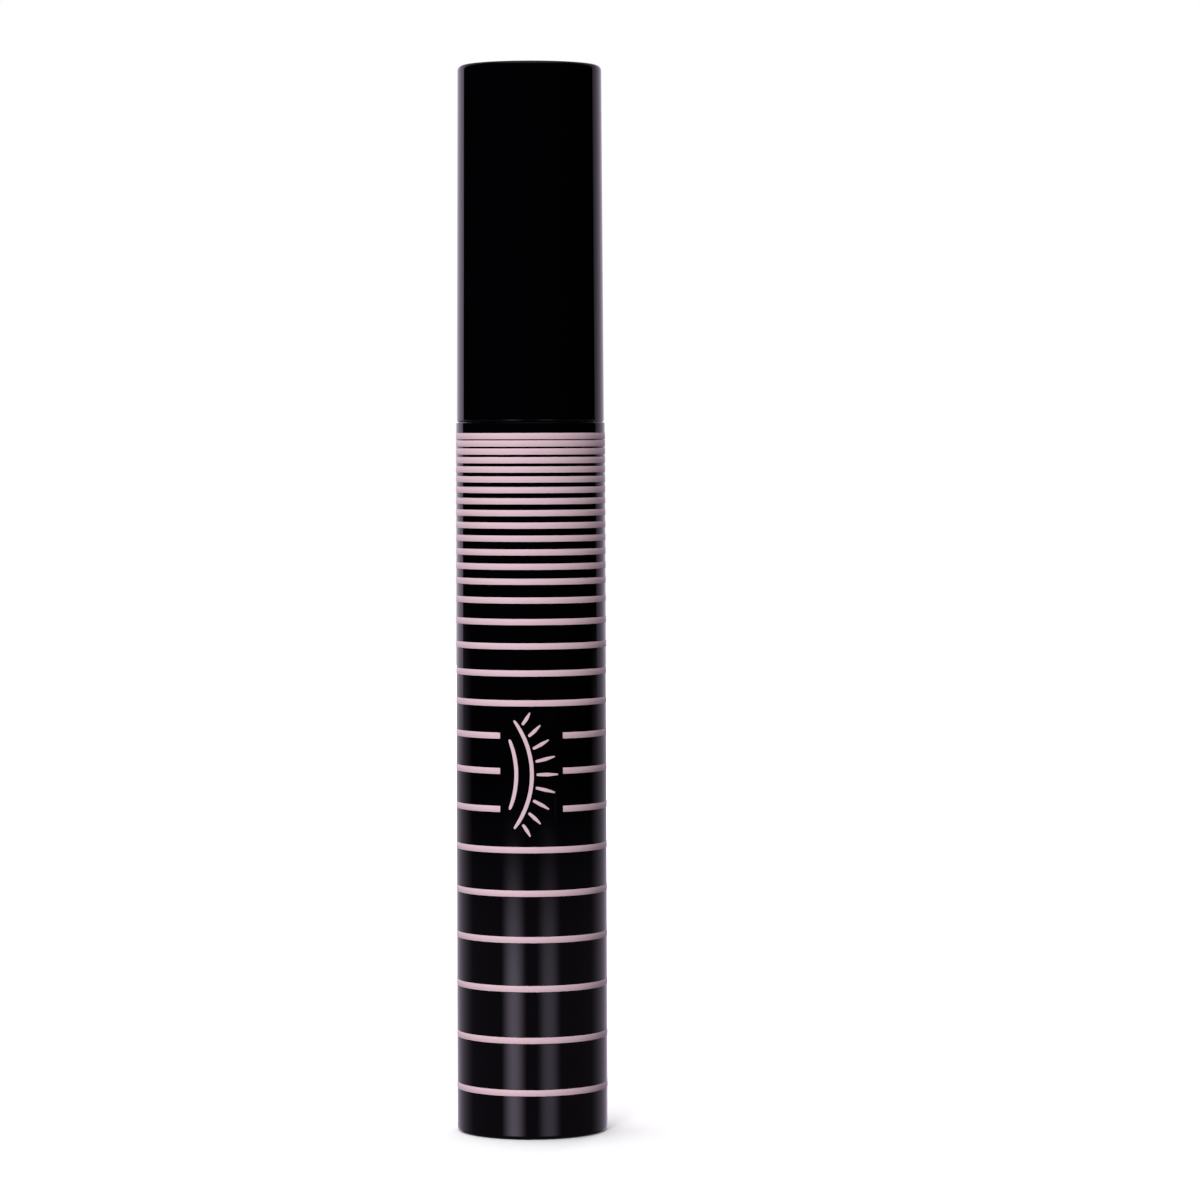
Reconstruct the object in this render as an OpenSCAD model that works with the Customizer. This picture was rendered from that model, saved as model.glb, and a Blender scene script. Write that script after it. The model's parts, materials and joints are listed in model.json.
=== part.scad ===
// Mascara tube: a printed bottle with a threaded neck and a wiper, closed by an overcap that
// carries the stem and its twisted-wire brush. It is drawn closed and standing.
// The origin is the centre of the face that it stands on, +Z runs up the tube, and the motif
// faces -Y. The cap is screwed on with a right-hand thread.

/* [Overall] */
// Height of the closed tube
total_h = 137.3; // [120:0.1:170]
// Open joint between the bottle's top and the overcap's mouth
cap_joint = 0.02; // [0.02:0.01:0.4]

/* [Bottle sleeve] */
// Diameter of the straight lower part
bottle_d = 19.4; // [16.1:0.1:24]
// Height of the sleeve
bottle_h = 91.5; // [75:0.1:110]
// Height up to which the sleeve is straight
straight_h = 47; // [30:0.5:60]
// How much narrower the sleeve is at its top
bottle_taper = 0.26; // [0.1:0.02:0.4]
// Wall of the sleeve
sleeve_wall = 1.1; // [1.1:0.05:1.4]
// Thickness of the web across the sleeve's top
sleeve_web = 1.2; // [0.8:0.1:2]
// Radius of the sleeve's bottom edge
base_r = 1; // [0.3:0.1:1]
// Radius of the sleeve's top edge
rim_r = 0.2; // [0.1:0.05:0.4]

/* [Base plug and label] */
// Thickness of the plug that closes the sleeve
plug_h = 2.4; // [1.6:0.1:4]
// Depth of the hollow under the plug
plug_hollow = 0.5; // [0.3:0.05:0.8]
// Width of the foot ring around the hollow
foot_w = 1.3; // [0.8:0.1:1.6]
// Thickness of the label in the hollow
label_t = 0.12; // [0.1:0.02:0.2]

/* [Inner bottle] */
// Wall of the reservoir
vial_wall = 0.85; // [0.6:0.05:1.1]
// Thickness of the reservoir's floor
vial_floor = 1.2; // [0.8:0.1:2]
// Thickness of the reservoir's shoulder
shoulder_t = 1.3; // [1:0.1:2]
// Height of the collar above the sleeve's top
collar_h = 0.6; // [0.2:0.1:0.8]
// Height of the neck above the sleeve's top
neck_h = 13.5; // [12:0.1:16.5]
// Wall of the neck
neck_wall = 1.2; // [0.9:0.05:1.4]
// Height of the mascara in the reservoir
fill_h = 62; // [40:1:66]

/* [Thread] */
// Rise of the thread in one turn
thread_pitch = 2.6; // [2.2:0.1:3.2]
// Turns that the cap makes before it is free
thread_turns = 1.25; // [1:0.05:1.5]
// Depth of the ridges
thread_depth = 0.65; // [0.4:0.05:0.8]
// Width of a ridge at its root
ridge_root = 1.3; // [0.9:0.05:1.4]
// Width of a ridge at its crest
ridge_crest = 0.6; // [0.4:0.05:0.8]
// From the neck's rim down to the top end of the bottle's thread
thread_drop = 4.2; // [3:0.1:6]
// Clearance between each ridge's crest and the wall that it faces
thread_clearance = 0.2; // [0.15:0.05:0.3]

/* [Wiper and seal] */
// Length of the wiper below its flange
wiper_len = 16.4; // [12:0.1:20]
// Wall of the wiper
wiper_wall = 0.7; // [0.5:0.05:0.8]
// Thickness of the wiper's flange
flange_t = 0.8; // [0.5:0.05:1.2]
// Height of the funnel that leads to the orifice
funnel_h = 4; // [2.5:0.1:6]
// Length of the orifice
orifice_len = 1; // [0.6:0.1:2]
// Clearance between the stem and the orifice
orifice_clearance = 0.1; // [0.06:0.01:0.2]
// Thickness of the seal washer
washer_t = 0.8; // [0.5:0.05:1.2]
// Clearance between the stem and the washer
washer_clearance = 0.4; // [0.2:0.05:0.6]

/* [Overcap] */
// How much narrower the cap's mouth is than the bottle's top
cap_step = 0.2; // [0:0.02:0.6]
// How much narrower the cap's closed end is than its mouth
cap_draft = 0.46; // [0.2:0.02:0.6]
// Wall of the overcap
cap_wall = 0.8; // [0.6:0.05:1.1]
// Thickness of the cap's closed end
cap_end_t = 1; // [0.8:0.1:1.6]
// Radius of the edge round the closed end
cap_edge_r = 0.7; // [0.3:0.05:0.7]

/* [Inner cap and weight] */
// From the overcap's mouth to the start of the inner cap
inner_cap_inset = 1.2; // [1:0.1:2]
// Wall of the inner cap outside its thread
inner_cap_wall = 1.6; // [1.2:0.05:2]
// Thickness of the inner cap's roof
roof_t = 1.6; // [1.2:0.1:2.4]
// Wall of the tube above the roof
riser_wall = 1.2; // [0.8:0.1:1.8]
// Height of the steel weight
weight_h = 9; // [6:0.1:12]
// Room above the weight
weight_play = 0.6; // [0.3:0.1:1]
// Clearance round the weight
weight_clearance = 0.25; // [0.15:0.05:0.5]

/* [Stem] */
// Length of the stem below the overcap's mouth
stem_reach = 56.3; // [46:0.1:64]
// Diameter of the stem under the cap
stem_d = 4.4; // [3.6:0.05:5.3]
// How much narrower the stem is where the nose starts
stem_taper = 0.08; // [0:0.01:0.2]
// Length of the nose
nose_len = 3.8; // [2:0.1:6]
// How much narrower the nose's end is than the stem
nose_taper = 0.72; // [0.4:0.02:1]
// Radius of the nose's rim
nose_r = 0.35; // [0.2:0.05:0.4]
// Depth of the hole that holds the wire
wire_hole_depth = 12; // [6:0.5:16]
// Width of the head's flange beyond the stem
head_flange_w = 1.4; // [1:0.1:1.8]
// Thickness of the head's flange
head_flange_t = 1.2; // [0.8:0.1:2]
// Height of the head above its flange
head_h = 2.6; // [1:0.1:4]

/* [Brush] */
// Length of the brush beyond the stem's nose
brush_len = 28.4; // [22:0.1:28.6]
// Diameter of the wire
wire_d = 0.64; // [0.5:0.02:0.7]
// Rise of one full twist of the wire
twist_pitch = 3.1; // [2.4:0.1:4]
// Radius of the brush at its widest
brush_r = 4.4; // [3.4:0.1:4.8]

/* [Printed bands] */
// Number of bands
band_count = 28; // [20:1:28]
// Width of a band
band_w = 0.79; // [0.4:0.01:0.8]
// From the sleeve's top to the first band's middle
band_top_margin = 1.76; // [1:0.02:3]
// From the base to the last band's middle
band_base_margin = 6; // [3:0.1:8]
// Number of the close spaces at the top
close_count = 13; // [6:1:18]
// First of the close spaces, before all of them are fitted to the height
close_first = 0.94; // [0.94:0.02:1.6]
// Growth from one close space to the next
close_growth = 0.08; // [0:0.002:0.1]
// First of the wide spaces
wide_first = 2.38; // [1.6:0.02:3]
// Growth from one wide space to the next
wide_growth = 0.352; // [0:0.001:0.4]
// Widest space
wide_limit = 6.7; // [5:0.1:8]
// How far the print stands proud of the sleeve
print_proud = 0.03; // [0.02:0.01:0.05]
// How far the print is pressed into the sleeve
print_bite = 0.02; // [0.01:0.01:0.03]

/* [Printed motif] */
// Height of the motif's middle
motif_z = 46.7; // [40:0.1:60]
// Length of the closed lid along the tube
motif_len = 13.8; // [10:0.1:16]
// Width of its strokes
motif_stroke = 0.5; // [0.3:0.05:0.7]
// Bulge of the closed eyelid
lid_bulge = 2.3; // [1.5:0.1:3]
// How far the lid stands to the left of the tube's middle
lid_offset = 1.1; // [0:0.1:1.5]
// From the lid to the crease behind it
crease_shift = 2; // [1.2:0.1:2.4]
// Length of the crease as a share of the lid's
crease_share = 0.62; // [0.4:0.02:0.8]
// Number of lashes
lash_count = 9; // [5:2:11]
// Length of the middle lash
lash_len = 2.8; // [1.5:0.1:3.2]
// Space between the lid and the lashes' roots
lash_gap = 0.35; // [0.2:0.05:0.6]
// Share of the lid that the lashes are spread over
lash_spread = 0.86; // [0.7:0.02:0.95]
// How far the end lashes turn away from the middle one, in degrees
lash_fan = 26; // [10:1:40]
// How much shorter the end lashes are, as a share
lash_shortening = 0.35; // [0:0.05:0.5]
// Width that the bands leave clear for the motif
motif_clear = 8; // [6:0.1:10]

/* [Hidden] */
// gap between pieces that are pressed or glued together
glue_gap = 0.05;
// depth to which a ridge or a cutter runs on into its neighbour
bite = 0.2;
$fn = 96;

// ---- outside
bottle_top_r = (bottle_d - bottle_taper) / 2;
function bottle_r(z) = bottle_d / 2
    - bottle_taper / 2 * max(0, z - straight_h) / (bottle_h - straight_h);
cap_z = bottle_h + cap_joint;
cap_mouth_r = bottle_top_r - cap_step / 2;
function cap_r(z) = cap_mouth_r - cap_draft / 2 * (z - cap_z) / (total_h - cap_z);
function cap_bore_r(z) = cap_r(z) - cap_wall;
cap_roof_z = total_h - cap_end_t;

// ---- from the overcap inwards to the neck
function inner_cap_r(z) = cap_bore_r(z) - glue_gap;
inner_cap_z = cap_z + inner_cap_inset;
neck_z = bottle_h + neck_h;
washer_z = neck_z + flange_t;
roof_z = washer_z + washer_t + glue_gap;
roof_top_z = roof_z + roof_t;
head_top_z = roof_top_z + head_flange_t + head_h;
weight_room = cap_roof_z - weight_play - head_top_z - glue_gap;
weight_len = min(weight_h, weight_room);
weight_z = cap_roof_z - weight_play - weight_len;
thread_bore_r = inner_cap_r(roof_z) - inner_cap_wall;
crest_r = thread_bore_r - thread_clearance;
neck_r = crest_r - thread_depth;
neck_bore_r = neck_r - neck_wall;

// ---- thread: the bottle's ridge, and the cap's ridge half a pitch above it
ridge_z = neck_z - thread_drop - thread_pitch * thread_turns;

// ---- reservoir
sleeve_bore_r = bottle_d / 2 - sleeve_wall;
sleeve_hole_r = crest_r + thread_clearance;
vial_r = sleeve_bore_r - glue_gap;
vial_bore_r = vial_r - vial_wall;
vial_z = plug_h + glue_gap;
vial_floor_z = vial_z + vial_floor;
vial_top_z = bottle_h - sleeve_web - glue_gap;
vial_roof_z = vial_top_z - shoulder_t;
fill_gap = 0.3;

// ---- stem and brush
stem_r = stem_d / 2;
stem_end_z = cap_z - stem_reach;
stem_low_r = stem_r - stem_taper / 2;
nose_end_r = stem_low_r - nose_taper / 2;
strand_r = wire_d / 2;
strand_offset = strand_r + 0.01;
wire_hole_r = strand_offset + strand_r + glue_gap;
tip_z = stem_end_z - brush_len;
orifice_r = stem_r + orifice_clearance;

// the brush's outline: places along it from the tip, and radii, both as shares of its size
BRUSH_WAVE = [
    [0.01, 0.50], [0.06, 0.72], [0.19, 0.98], [0.30, 0.70], [0.46, 0.82],
    [0.56, 0.73], [0.71, 1.00], [0.80, 0.71], [0.90, 0.91], [0.985, 0.70],
];

// ---- bands
function wished_space(i) = i < close_count
    ? close_first + close_growth * i
    : min(wide_limit, wide_first + wide_growth * (i - close_count));
function wished_run(n) = n == 0 ? 0 : wished_run(n - 1) + wished_space(n - 1);
band_run = bottle_h - band_top_margin - band_base_margin;
band_fit = band_run / wished_run(band_count - 1);
function band_z(i) = bottle_h - band_top_margin - band_fit * wished_run(i);
function band_name(i) = str("band_", i < 9 ? "0" : "", i + 1);

// ---- shared shapes

// points on an arc from angle a to angle b
function arc(x, z, r, a, b, steps = 6) =
    [for (i = [0 : steps]) let (t = a + (b - a) * i / steps) [x + r * cos(t), z + r * sin(t)]];

module lathe(outline) rotate_extrude() polygon(outline);

// a closed skin over rings of points, each ring a list of the same length
module skin(rings, flip = false) {
    n = len(rings[0]);
    m = len(rings);
    sides = [for (k = [0 : m - 2], i = [0 : n - 1])
        let (j = (i + 1) % n, q = [k * n + i, k * n + j, (k + 1) * n + j, (k + 1) * n + i])
        each [[q[0], q[1], q[2]], [q[0], q[2], q[3]]]];
    caps = [[for (i = [n - 1 : -1 : 0]) i], [for (i = [0 : n - 1]) (m - 1) * n + i]];
    faces = concat(sides, caps);
    polyhedron(
        [for (ring = rings) each ring],
        flip ? [for (f = faces) [for (i = [len(f) - 1 : -1 : 0]) f[i]]] : faces
    );
}

// one helical ridge that stands on wall_r and reaches crest, with low blunt ends
module ridge(wall_r, crest, start_z, inward = false) {
    step_angle = 15;
    lead_in = 45;
    sweep = 360 * thread_turns;
    count = round(sweep / step_angle);
    root = wall_r + (inward ? bite : -bite);
    rings = [for (k = [0 : count])
        let (
            a = sweep * k / count,
            rise = min(1, 0.35 + min(a, sweep - a) / lead_in),
            top = wall_r + (crest - wall_r) * rise,
            z = start_z + thread_pitch * a / 360
        )
        [for (p = [[root, -ridge_root], [top, -ridge_crest], [top, ridge_crest], [root, ridge_root]])
            [p[0] * cos(a), p[0] * sin(a), z + p[1] / 2]]];
    skin(rings, flip = inward);
}

// the sleeve's skin between two heights, pressed in by print_bite and proud by print_proud
module print_skin(low, high) lathe([
    [bottle_r(low) - print_bite, low],
    [bottle_r(low) + print_proud, low],
    [bottle_r(high) + print_proud, high],
    [bottle_r(high) - print_bite, high],
]);

// ---- bottle

module bottle_sleeve() color([0.03, 0.03, 0.035]) lathe(concat(
    [[sleeve_bore_r, 0]],
    arc(bottle_d / 2 - base_r, base_r, base_r, -90, 0),
    [[bottle_d / 2, straight_h]],
    arc(bottle_top_r - rim_r, bottle_h - rim_r, rim_r, 0, 90, 3),
    [
        [sleeve_hole_r, bottle_h], [sleeve_hole_r, bottle_h - sleeve_web],
        [sleeve_bore_r, bottle_h - sleeve_web],
    ]
));

plug_r = sleeve_bore_r - glue_gap;
label_r = plug_r - foot_w - glue_gap;

module base_plug() color([0.05, 0.05, 0.055]) lathe([
    [0, plug_hollow], [plug_r - foot_w, plug_hollow], [plug_r - foot_w, 0],
    [plug_r, 0], [plug_r, plug_h], [0, plug_h],
]);

module base_label() color([0.75, 0.7, 0.72])
    translate([0, 0, plug_hollow - label_t]) cylinder(r = label_r, h = label_t);

module inner_bottle() color([0.08, 0.08, 0.085]) {
    collar_r = sleeve_hole_r - glue_gap;
    collar_z = bottle_h + collar_h;
    lathe([
        [0, vial_z], [vial_r, vial_z], [vial_r, vial_top_z], [collar_r, vial_top_z],
        [collar_r, collar_z], [neck_r, collar_z], [neck_r, neck_z],
        [neck_bore_r, neck_z], [neck_bore_r, vial_roof_z],
        [vial_bore_r, vial_roof_z], [vial_bore_r, vial_floor_z], [0, vial_floor_z],
    ]);
    ridge(neck_r, crest_r, ridge_z);
}

// the bore through the mascara is the room that the brush keeps open
module mascara_fill() color([0.02, 0.02, 0.02])
    translate([0, 0, vial_floor_z + glue_gap]) difference() {
        cylinder(r = vial_bore_r - glue_gap, h = fill_h);
        translate([0, 0, -bite]) cylinder(r = brush_r + fill_gap, h = fill_h + 2 * bite);
    }

module wiper() color([0.85, 0.85, 0.82]) {
    tube_r = neck_bore_r - glue_gap;
    bore_r = tube_r - wiper_wall;
    end_z = neck_z - wiper_len;
    funnel_z = end_z + orifice_len;
    lathe([
        [orifice_r, end_z], [orifice_r + wiper_wall, end_z],
        [orifice_r + wiper_wall, funnel_z], [tube_r, funnel_z + funnel_h],
        [tube_r, neck_z], [neck_r - glue_gap, neck_z],
        [neck_r - glue_gap, washer_z], [bore_r, washer_z],
        [bore_r, funnel_z + funnel_h], [orifice_r, funnel_z],
    ]);
}

// ---- print

module band(i) color([0.9, 0.8, 0.84]) {
    z = band_z(i);
    broken = abs(z - motif_z) < motif_len / 2;
    difference() {
        print_skin(z - band_w / 2, z + band_w / 2);
        if (broken) translate([-motif_clear / 2, -bottle_d, z - band_w])
            cube([motif_clear, bottle_d, 2 * band_w]);
    }
}

// a place on the sleeve's skin: x is measured round it from the front, and proud outwards
function on_sleeve(x, z, proud) = let (a = x / bottle_r(z) * 180 / PI, r = bottle_r(z) + proud)
    [r * sin(a), -r * cos(a), z];

// a painted stroke along a path of [x, z] points, with narrowed ends
module stroke(path) {
    last = len(path) - 1;
    skin([for (k = [0 : last]) let (
            way = path[min(k + 1, last)] - path[max(k - 1, 0)],
            across = [-way[1], way[0]] / norm(way),
            w = motif_stroke / 2 * (k == 0 || k == last ? 0.45 : 1),
            left = path[k] + w * across,
            right = path[k] - w * across
        )
        [
            on_sleeve(left[0], left[1], -print_bite), on_sleeve(right[0], right[1], -print_bite),
            on_sleeve(right[0], right[1], print_proud), on_sleeve(left[0], left[1], print_proud),
        ]]);
}

// points of an arc that is centred at [x, 0] and spans the angle both ways from +X, with a
// short first and last step for the narrowed ends
function arc_path(x, r, angle, steps) = let (tip_step = 0.4 / r * 180 / PI)
    [for (t = concat([-angle], [for (i = [0 : steps]) (angle - tip_step) * (2 * i / steps - 1)], [angle]))
        [x + r * cos(t), motif_z + r * sin(t)]];

// a closed eye that runs up the tube: the lid, the crease behind it, and a fan of lashes
module motif() color([0.9, 0.8, 0.84]) {
    half = motif_len / 2;
    lid_r = (half * half + lid_bulge * lid_bulge) / (2 * lid_bulge);
    lid_angle = asin(half / lid_r);
    lid_x = -lid_r + lid_bulge / 2 - lid_offset;
    stroke(arc_path(lid_x, lid_r, lid_angle, 24));
    stroke(arc_path(lid_x - crease_shift, lid_r, lid_angle * crease_share, 16));
    for (i = [0 : lash_count - 1]) {
        place = 2 * i / (lash_count - 1) - 1;
        root_a = place * lid_angle * lash_spread;
        way_a = root_a + lash_fan * place;
        root = [lid_x + (lid_r + motif_stroke / 2 + lash_gap) * cos(root_a),
            motif_z + (lid_r + motif_stroke / 2 + lash_gap) * sin(root_a)];
        reach = lash_len * (1 - lash_shortening * abs(place));
        stroke([for (t = [0, 0.12, 0.3, 0.5, 0.7, 0.88, 1])
            root + reach * t * [cos(way_a), sin(way_a)]]);
    }
}

// ---- cap and applicator

module seal_washer() color([0.8, 0.8, 0.78]) translate([0, 0, washer_z]) difference() {
    cylinder(r = neck_r - glue_gap, h = washer_t);
    translate([0, 0, -bite]) cylinder(r = stem_r + washer_clearance, h = washer_t + 2 * bite);
}

module cap_weight() color([0.6, 0.6, 0.62]) {
    r = cap_bore_r(cap_roof_z) - weight_clearance;
    edge = 0.4;
    lathe([
        [0, weight_z], [r - edge, weight_z], [r, weight_z + edge],
        [r, weight_z + weight_len - edge], [r - edge, weight_z + weight_len],
        [0, weight_z + weight_len],
    ]);
}

module overcap() color([0.03, 0.03, 0.035]) {
    mouth_edge = 0.15;
    end_r = cap_r(total_h);
    lathe(concat(
        [
            [0, cap_roof_z], [cap_bore_r(cap_roof_z), cap_roof_z], [cap_bore_r(cap_z), cap_z],
            [cap_mouth_r - mouth_edge, cap_z], [cap_mouth_r, cap_z + mouth_edge],
        ],
        arc(end_r - cap_edge_r, total_h - cap_edge_r, cap_edge_r, 0, 90, 8),
        [[0, total_h]]
    ));
}

module inner_cap() color([0.08, 0.08, 0.085]) {
    hole_r = stem_r + glue_gap;
    seat_r = stem_r + head_flange_w + glue_gap;
    seat_wall = 0.8;
    snap = 0.15;
    snap_z = roof_top_z + head_flange_t + glue_gap;
    riser_r = inner_cap_r(weight_z) - riser_wall;
    lathe([
        [thread_bore_r, inner_cap_z], [inner_cap_r(inner_cap_z), inner_cap_z],
        [inner_cap_r(weight_z), weight_z], [riser_r, weight_z], [riser_r, roof_top_z],
        [seat_r + seat_wall, roof_top_z], [seat_r + seat_wall, snap_z + 2 * snap],
        [seat_r, snap_z + 2 * snap], [seat_r - snap, snap_z + snap], [seat_r - snap, snap_z],
        [seat_r, snap_z], [seat_r, roof_top_z],
        [hole_r, roof_top_z], [hole_r, roof_z], [thread_bore_r, roof_z],
    ]);
    ridge(thread_bore_r, neck_r + thread_clearance, ridge_z + thread_pitch / 2, inward = true);
}

module stem() color([0.06, 0.06, 0.065]) {
    flange_r = stem_r + head_flange_w;
    head_z = roof_top_z + head_flange_t;
    hole_top_z = stem_end_z + wire_hole_depth;
    lathe(concat(
        [[wire_hole_r, stem_end_z]],
        arc(nose_end_r - nose_r, stem_end_z + nose_r, nose_r, -90, 0, 4),
        [
            [stem_low_r, stem_end_z + nose_len], [stem_r, roof_z], [stem_r, roof_top_z],
            [flange_r, roof_top_z], [flange_r, head_z], [stem_r, head_z],
            [stem_r, head_top_z], [0, head_top_z], [0, hole_top_z],
            [wire_hole_r, hole_top_z],
        ]
    ));
}

// One wire folded in half at the tip and twisted left-handed: down one strand, round the fold
// and up the other. Each station gives a centre, the outward direction and the way of travel.
wire_top_z = stem_end_z + wire_hole_depth - glue_gap;
fold_z = tip_z + strand_offset + strand_r;
steps_per_twist = 8;
wire_steps = ceil(steps_per_twist * (wire_top_z - fold_z) / twist_pitch);
wire_lean = 2 * PI * strand_offset / twist_pitch;

function outward(a) = [cos(a), sin(a), 0];
function along(a) = [sin(a) * wire_lean, -cos(a) * wire_lean, 1] / norm([wire_lean, 1]);
function on_strand(k, side) = let (
        rise = (wire_top_z - fold_z) * k / wire_steps,
        a = -360 * rise / twist_pitch + (side < 0 ? 180 : 0)
    )
    [strand_offset * outward(a) + [0, 0, fold_z + rise], outward(a), side * along(a)];
function on_fold(t) =
    [[-strand_offset * cos(t), 0, fold_z - strand_offset * sin(t)], [-cos(t), 0, -sin(t)], [sin(t), 0, -cos(t)]];

module brush_wire() color([0.72, 0.7, 0.71]) {
    sides = 6;
    fold_step = 45;
    stations = concat(
        [for (k = [wire_steps : -1 : 1]) on_strand(k, -1)],
        [for (t = [0 : fold_step : 180]) on_fold(t)],
        [for (k = [1 : wire_steps]) on_strand(k, 1)]
    );
    skin([for (s = stations) let (across = cross(s[2], s[1]))
        [for (i = [0 : sides - 1]) let (t = 360 * i / sides)
            s[0] + strand_r * (cos(t) * s[1] + sin(t) * across)]]);
}

// the bristles' outer shape as one solid, with a bore for the wire
module bristles() color([0.05, 0.05, 0.05]) {
    bore = strand_offset + strand_r + glue_gap;
    outer = [for (p = BRUSH_WAVE) [brush_r * p[1], tip_z + brush_len * p[0]]];
    last = len(outer) - 1;
    lathe(concat([[bore, outer[0][1]]], outer, [[bore, outer[last][1]]]));
}

bottle_sleeve();
base_plug();
base_label();
inner_bottle();
mascara_fill();
wiper();
motif();
for (i = [0 : band_count - 1]) band(i);
seal_washer();
cap_weight();
overcap();
inner_cap();
stem();
brush_wire();
bristles();
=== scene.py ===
"""A closed mascara tube with printed bands, and the applicator that its cap carries."""

import json
from functools import reduce
from math import asin, atan2, cos, degrees, hypot, pi, radians, sin, sqrt, tan

import bmesh
import bpy
from bpy.props import FloatProperty, FloatVectorProperty, IntProperty, PointerProperty
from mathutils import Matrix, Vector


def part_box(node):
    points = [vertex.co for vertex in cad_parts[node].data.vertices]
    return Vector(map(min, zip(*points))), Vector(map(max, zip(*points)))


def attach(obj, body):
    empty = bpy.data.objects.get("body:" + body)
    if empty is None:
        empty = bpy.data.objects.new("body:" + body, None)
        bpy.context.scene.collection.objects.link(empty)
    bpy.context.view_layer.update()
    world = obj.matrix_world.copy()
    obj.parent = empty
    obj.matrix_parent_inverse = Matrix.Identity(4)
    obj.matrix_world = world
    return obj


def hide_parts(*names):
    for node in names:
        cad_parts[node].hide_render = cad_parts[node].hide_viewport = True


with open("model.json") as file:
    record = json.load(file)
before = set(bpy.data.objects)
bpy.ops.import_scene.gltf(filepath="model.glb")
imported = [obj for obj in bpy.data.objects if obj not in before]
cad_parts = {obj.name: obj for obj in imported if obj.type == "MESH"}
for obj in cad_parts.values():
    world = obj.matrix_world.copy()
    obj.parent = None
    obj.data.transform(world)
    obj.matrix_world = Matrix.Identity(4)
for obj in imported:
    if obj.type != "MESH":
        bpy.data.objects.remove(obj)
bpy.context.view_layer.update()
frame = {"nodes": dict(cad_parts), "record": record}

bl_info = {
    "name": "Mascara Tube",
    "version": (1, 0, 0),
    "blender": (4, 5, 0),
    "location": "3D View > Sidebar > Mascara",
    "description": "Builds a closed mascara tube with its cap, wiper and twisted-wire brush",
    "category": "Add Mesh",
}

MM = 0.001
TURN = 2 * pi
GAP = 0.05 * MM     # between pieces that are pressed or glued together
HAIRLINE = 1e-7     # shorter than this, in metres, counts as nothing
CREASE = radians(38)     # faces that meet at more than this shade as a sharp edge

# The thread's rise and the cap's turns come from the record, so the ridges fit the motion.
RECORD = frame["record"]["behaviour"]
THREAD_PITCH = RECORD["couplings"][0]["ratio"] * TURN
THREAD_TURNS = next(j for j in RECORD["joints"] if j["name"] == "cap_turn")["range_deg"][1] / 360


def extent(node):
    """A CAD node's lower end, upper end and radius."""
    low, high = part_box(node)
    return low.z, high.z, high.x


def base_of(node):
    return extent(node)[0]


def top_of(node):
    return extent(node)[1]


def radius_of(node):
    return extent(node)[2]


def neck_radius():
    """Radius of the neck between its ridges: the wiper's flange is as wide, less the gap."""
    return radius_of("wiper") + GAP


def bore_radius(scene):
    """Radius of the inner cap's bore, and of the sleeve's hole for the neck."""
    thread = scene.mascara_thread
    return neck_radius() + thread.depth + thread.clearance


def sleeve_top_radius(scene):
    return radius_of("overcap") + scene.mascara_cap.step


def cap_end_radius(scene):
    return radius_of("overcap") - scene.mascara_cap.draft


# ---- what a user would change


def length(name, description, default):
    """A size given in metres, shown in the scene's unit of length."""
    return FloatProperty(name=name, description=description, default=default, min=0,
                         precision=5, unit="LENGTH")


def share(name, description, default):
    return FloatProperty(name=name, description=description, default=default, min=0, max=1,
                         subtype="FACTOR")


def angle(name, description, default):
    return FloatProperty(name=name, description=description, default=radians(default),
                         unit="ROTATION")


def tint(name, description, default):
    return FloatVectorProperty(name=name, description=description, default=default, size=3,
                               min=0, max=1, subtype="COLOR")


class BottleSizes(bpy.types.PropertyGroup):
    straight_height: length("Straight part", "Height up to which the sleeve is straight", 47 * MM)
    wall: length("Sleeve wall", "Wall of the sleeve", 1.1 * MM)
    web: length("Sleeve web", "Thickness of the web across the sleeve's top", 1.2 * MM)
    base_edge: length("Base edge", "Radius of the sleeve's bottom edge", 1 * MM)
    rim_edge: length("Rim edge", "Radius of the sleeve's top edge", 0.2 * MM)
    foot_width: length("Foot ring", "Width of the ring that the tube stands on", 1.3 * MM)
    foot_depth: length("Foot hollow", "Depth of the hollow inside the foot ring", 0.5 * MM)
    vial_wall: length("Reservoir wall", "Wall of the reservoir", 0.85 * MM)
    vial_floor: length("Reservoir floor", "Thickness of the reservoir's floor", 1.2 * MM)
    shoulder: length("Shoulder", "Thickness of the reservoir's shoulder", 1.3 * MM)
    collar_height: length("Collar height", "Collar above the sleeve's top", 0.6 * MM)
    neck_wall: length("Neck wall", "Wall of the neck", 1.2 * MM)


class ThreadSizes(bpy.types.PropertyGroup):
    drop: length("Thread drop", "From the neck's rim down to the thread's top end", 4.2 * MM)
    depth: length("Ridge depth", "How far a ridge stands out of its wall", 0.65 * MM)
    root: length("Ridge root", "Width of a ridge at its root", 1.3 * MM)
    crest: length("Ridge crest", "Width of a ridge at its crest", 0.6 * MM)
    clearance: length("Clearance", "From a ridge's crest to the wall that it faces", 0.2 * MM)
    sunk: length("Sunk root", "How far a ridge's root runs on into its wall", 0.2 * MM)
    edge: length("Ridge edge", "Radius of a ridge's edges", 0.12 * MM)
    lead_in: share("Lead-in", "Share of the ridge over which each end swells", 0.1)
    blunt: share("Blunt end", "Height of a ridge's end as a share of its full height", 0.35)


class WiperSizes(bpy.types.PropertyGroup):
    orifice: length("Orifice radius", "Radius of the opening that strips the stem", 2.3 * MM)
    orifice_length: length("Orifice length", "Length of the opening", 1 * MM)
    funnel: length("Funnel height", "Height of the funnel above the opening", 4 * MM)
    wall: length("Wiper wall", "Wall of the wiper", 0.7 * MM)
    washer_bore: length("Washer bore", "Radius of the hole in the seal washer", 2.6 * MM)


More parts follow.
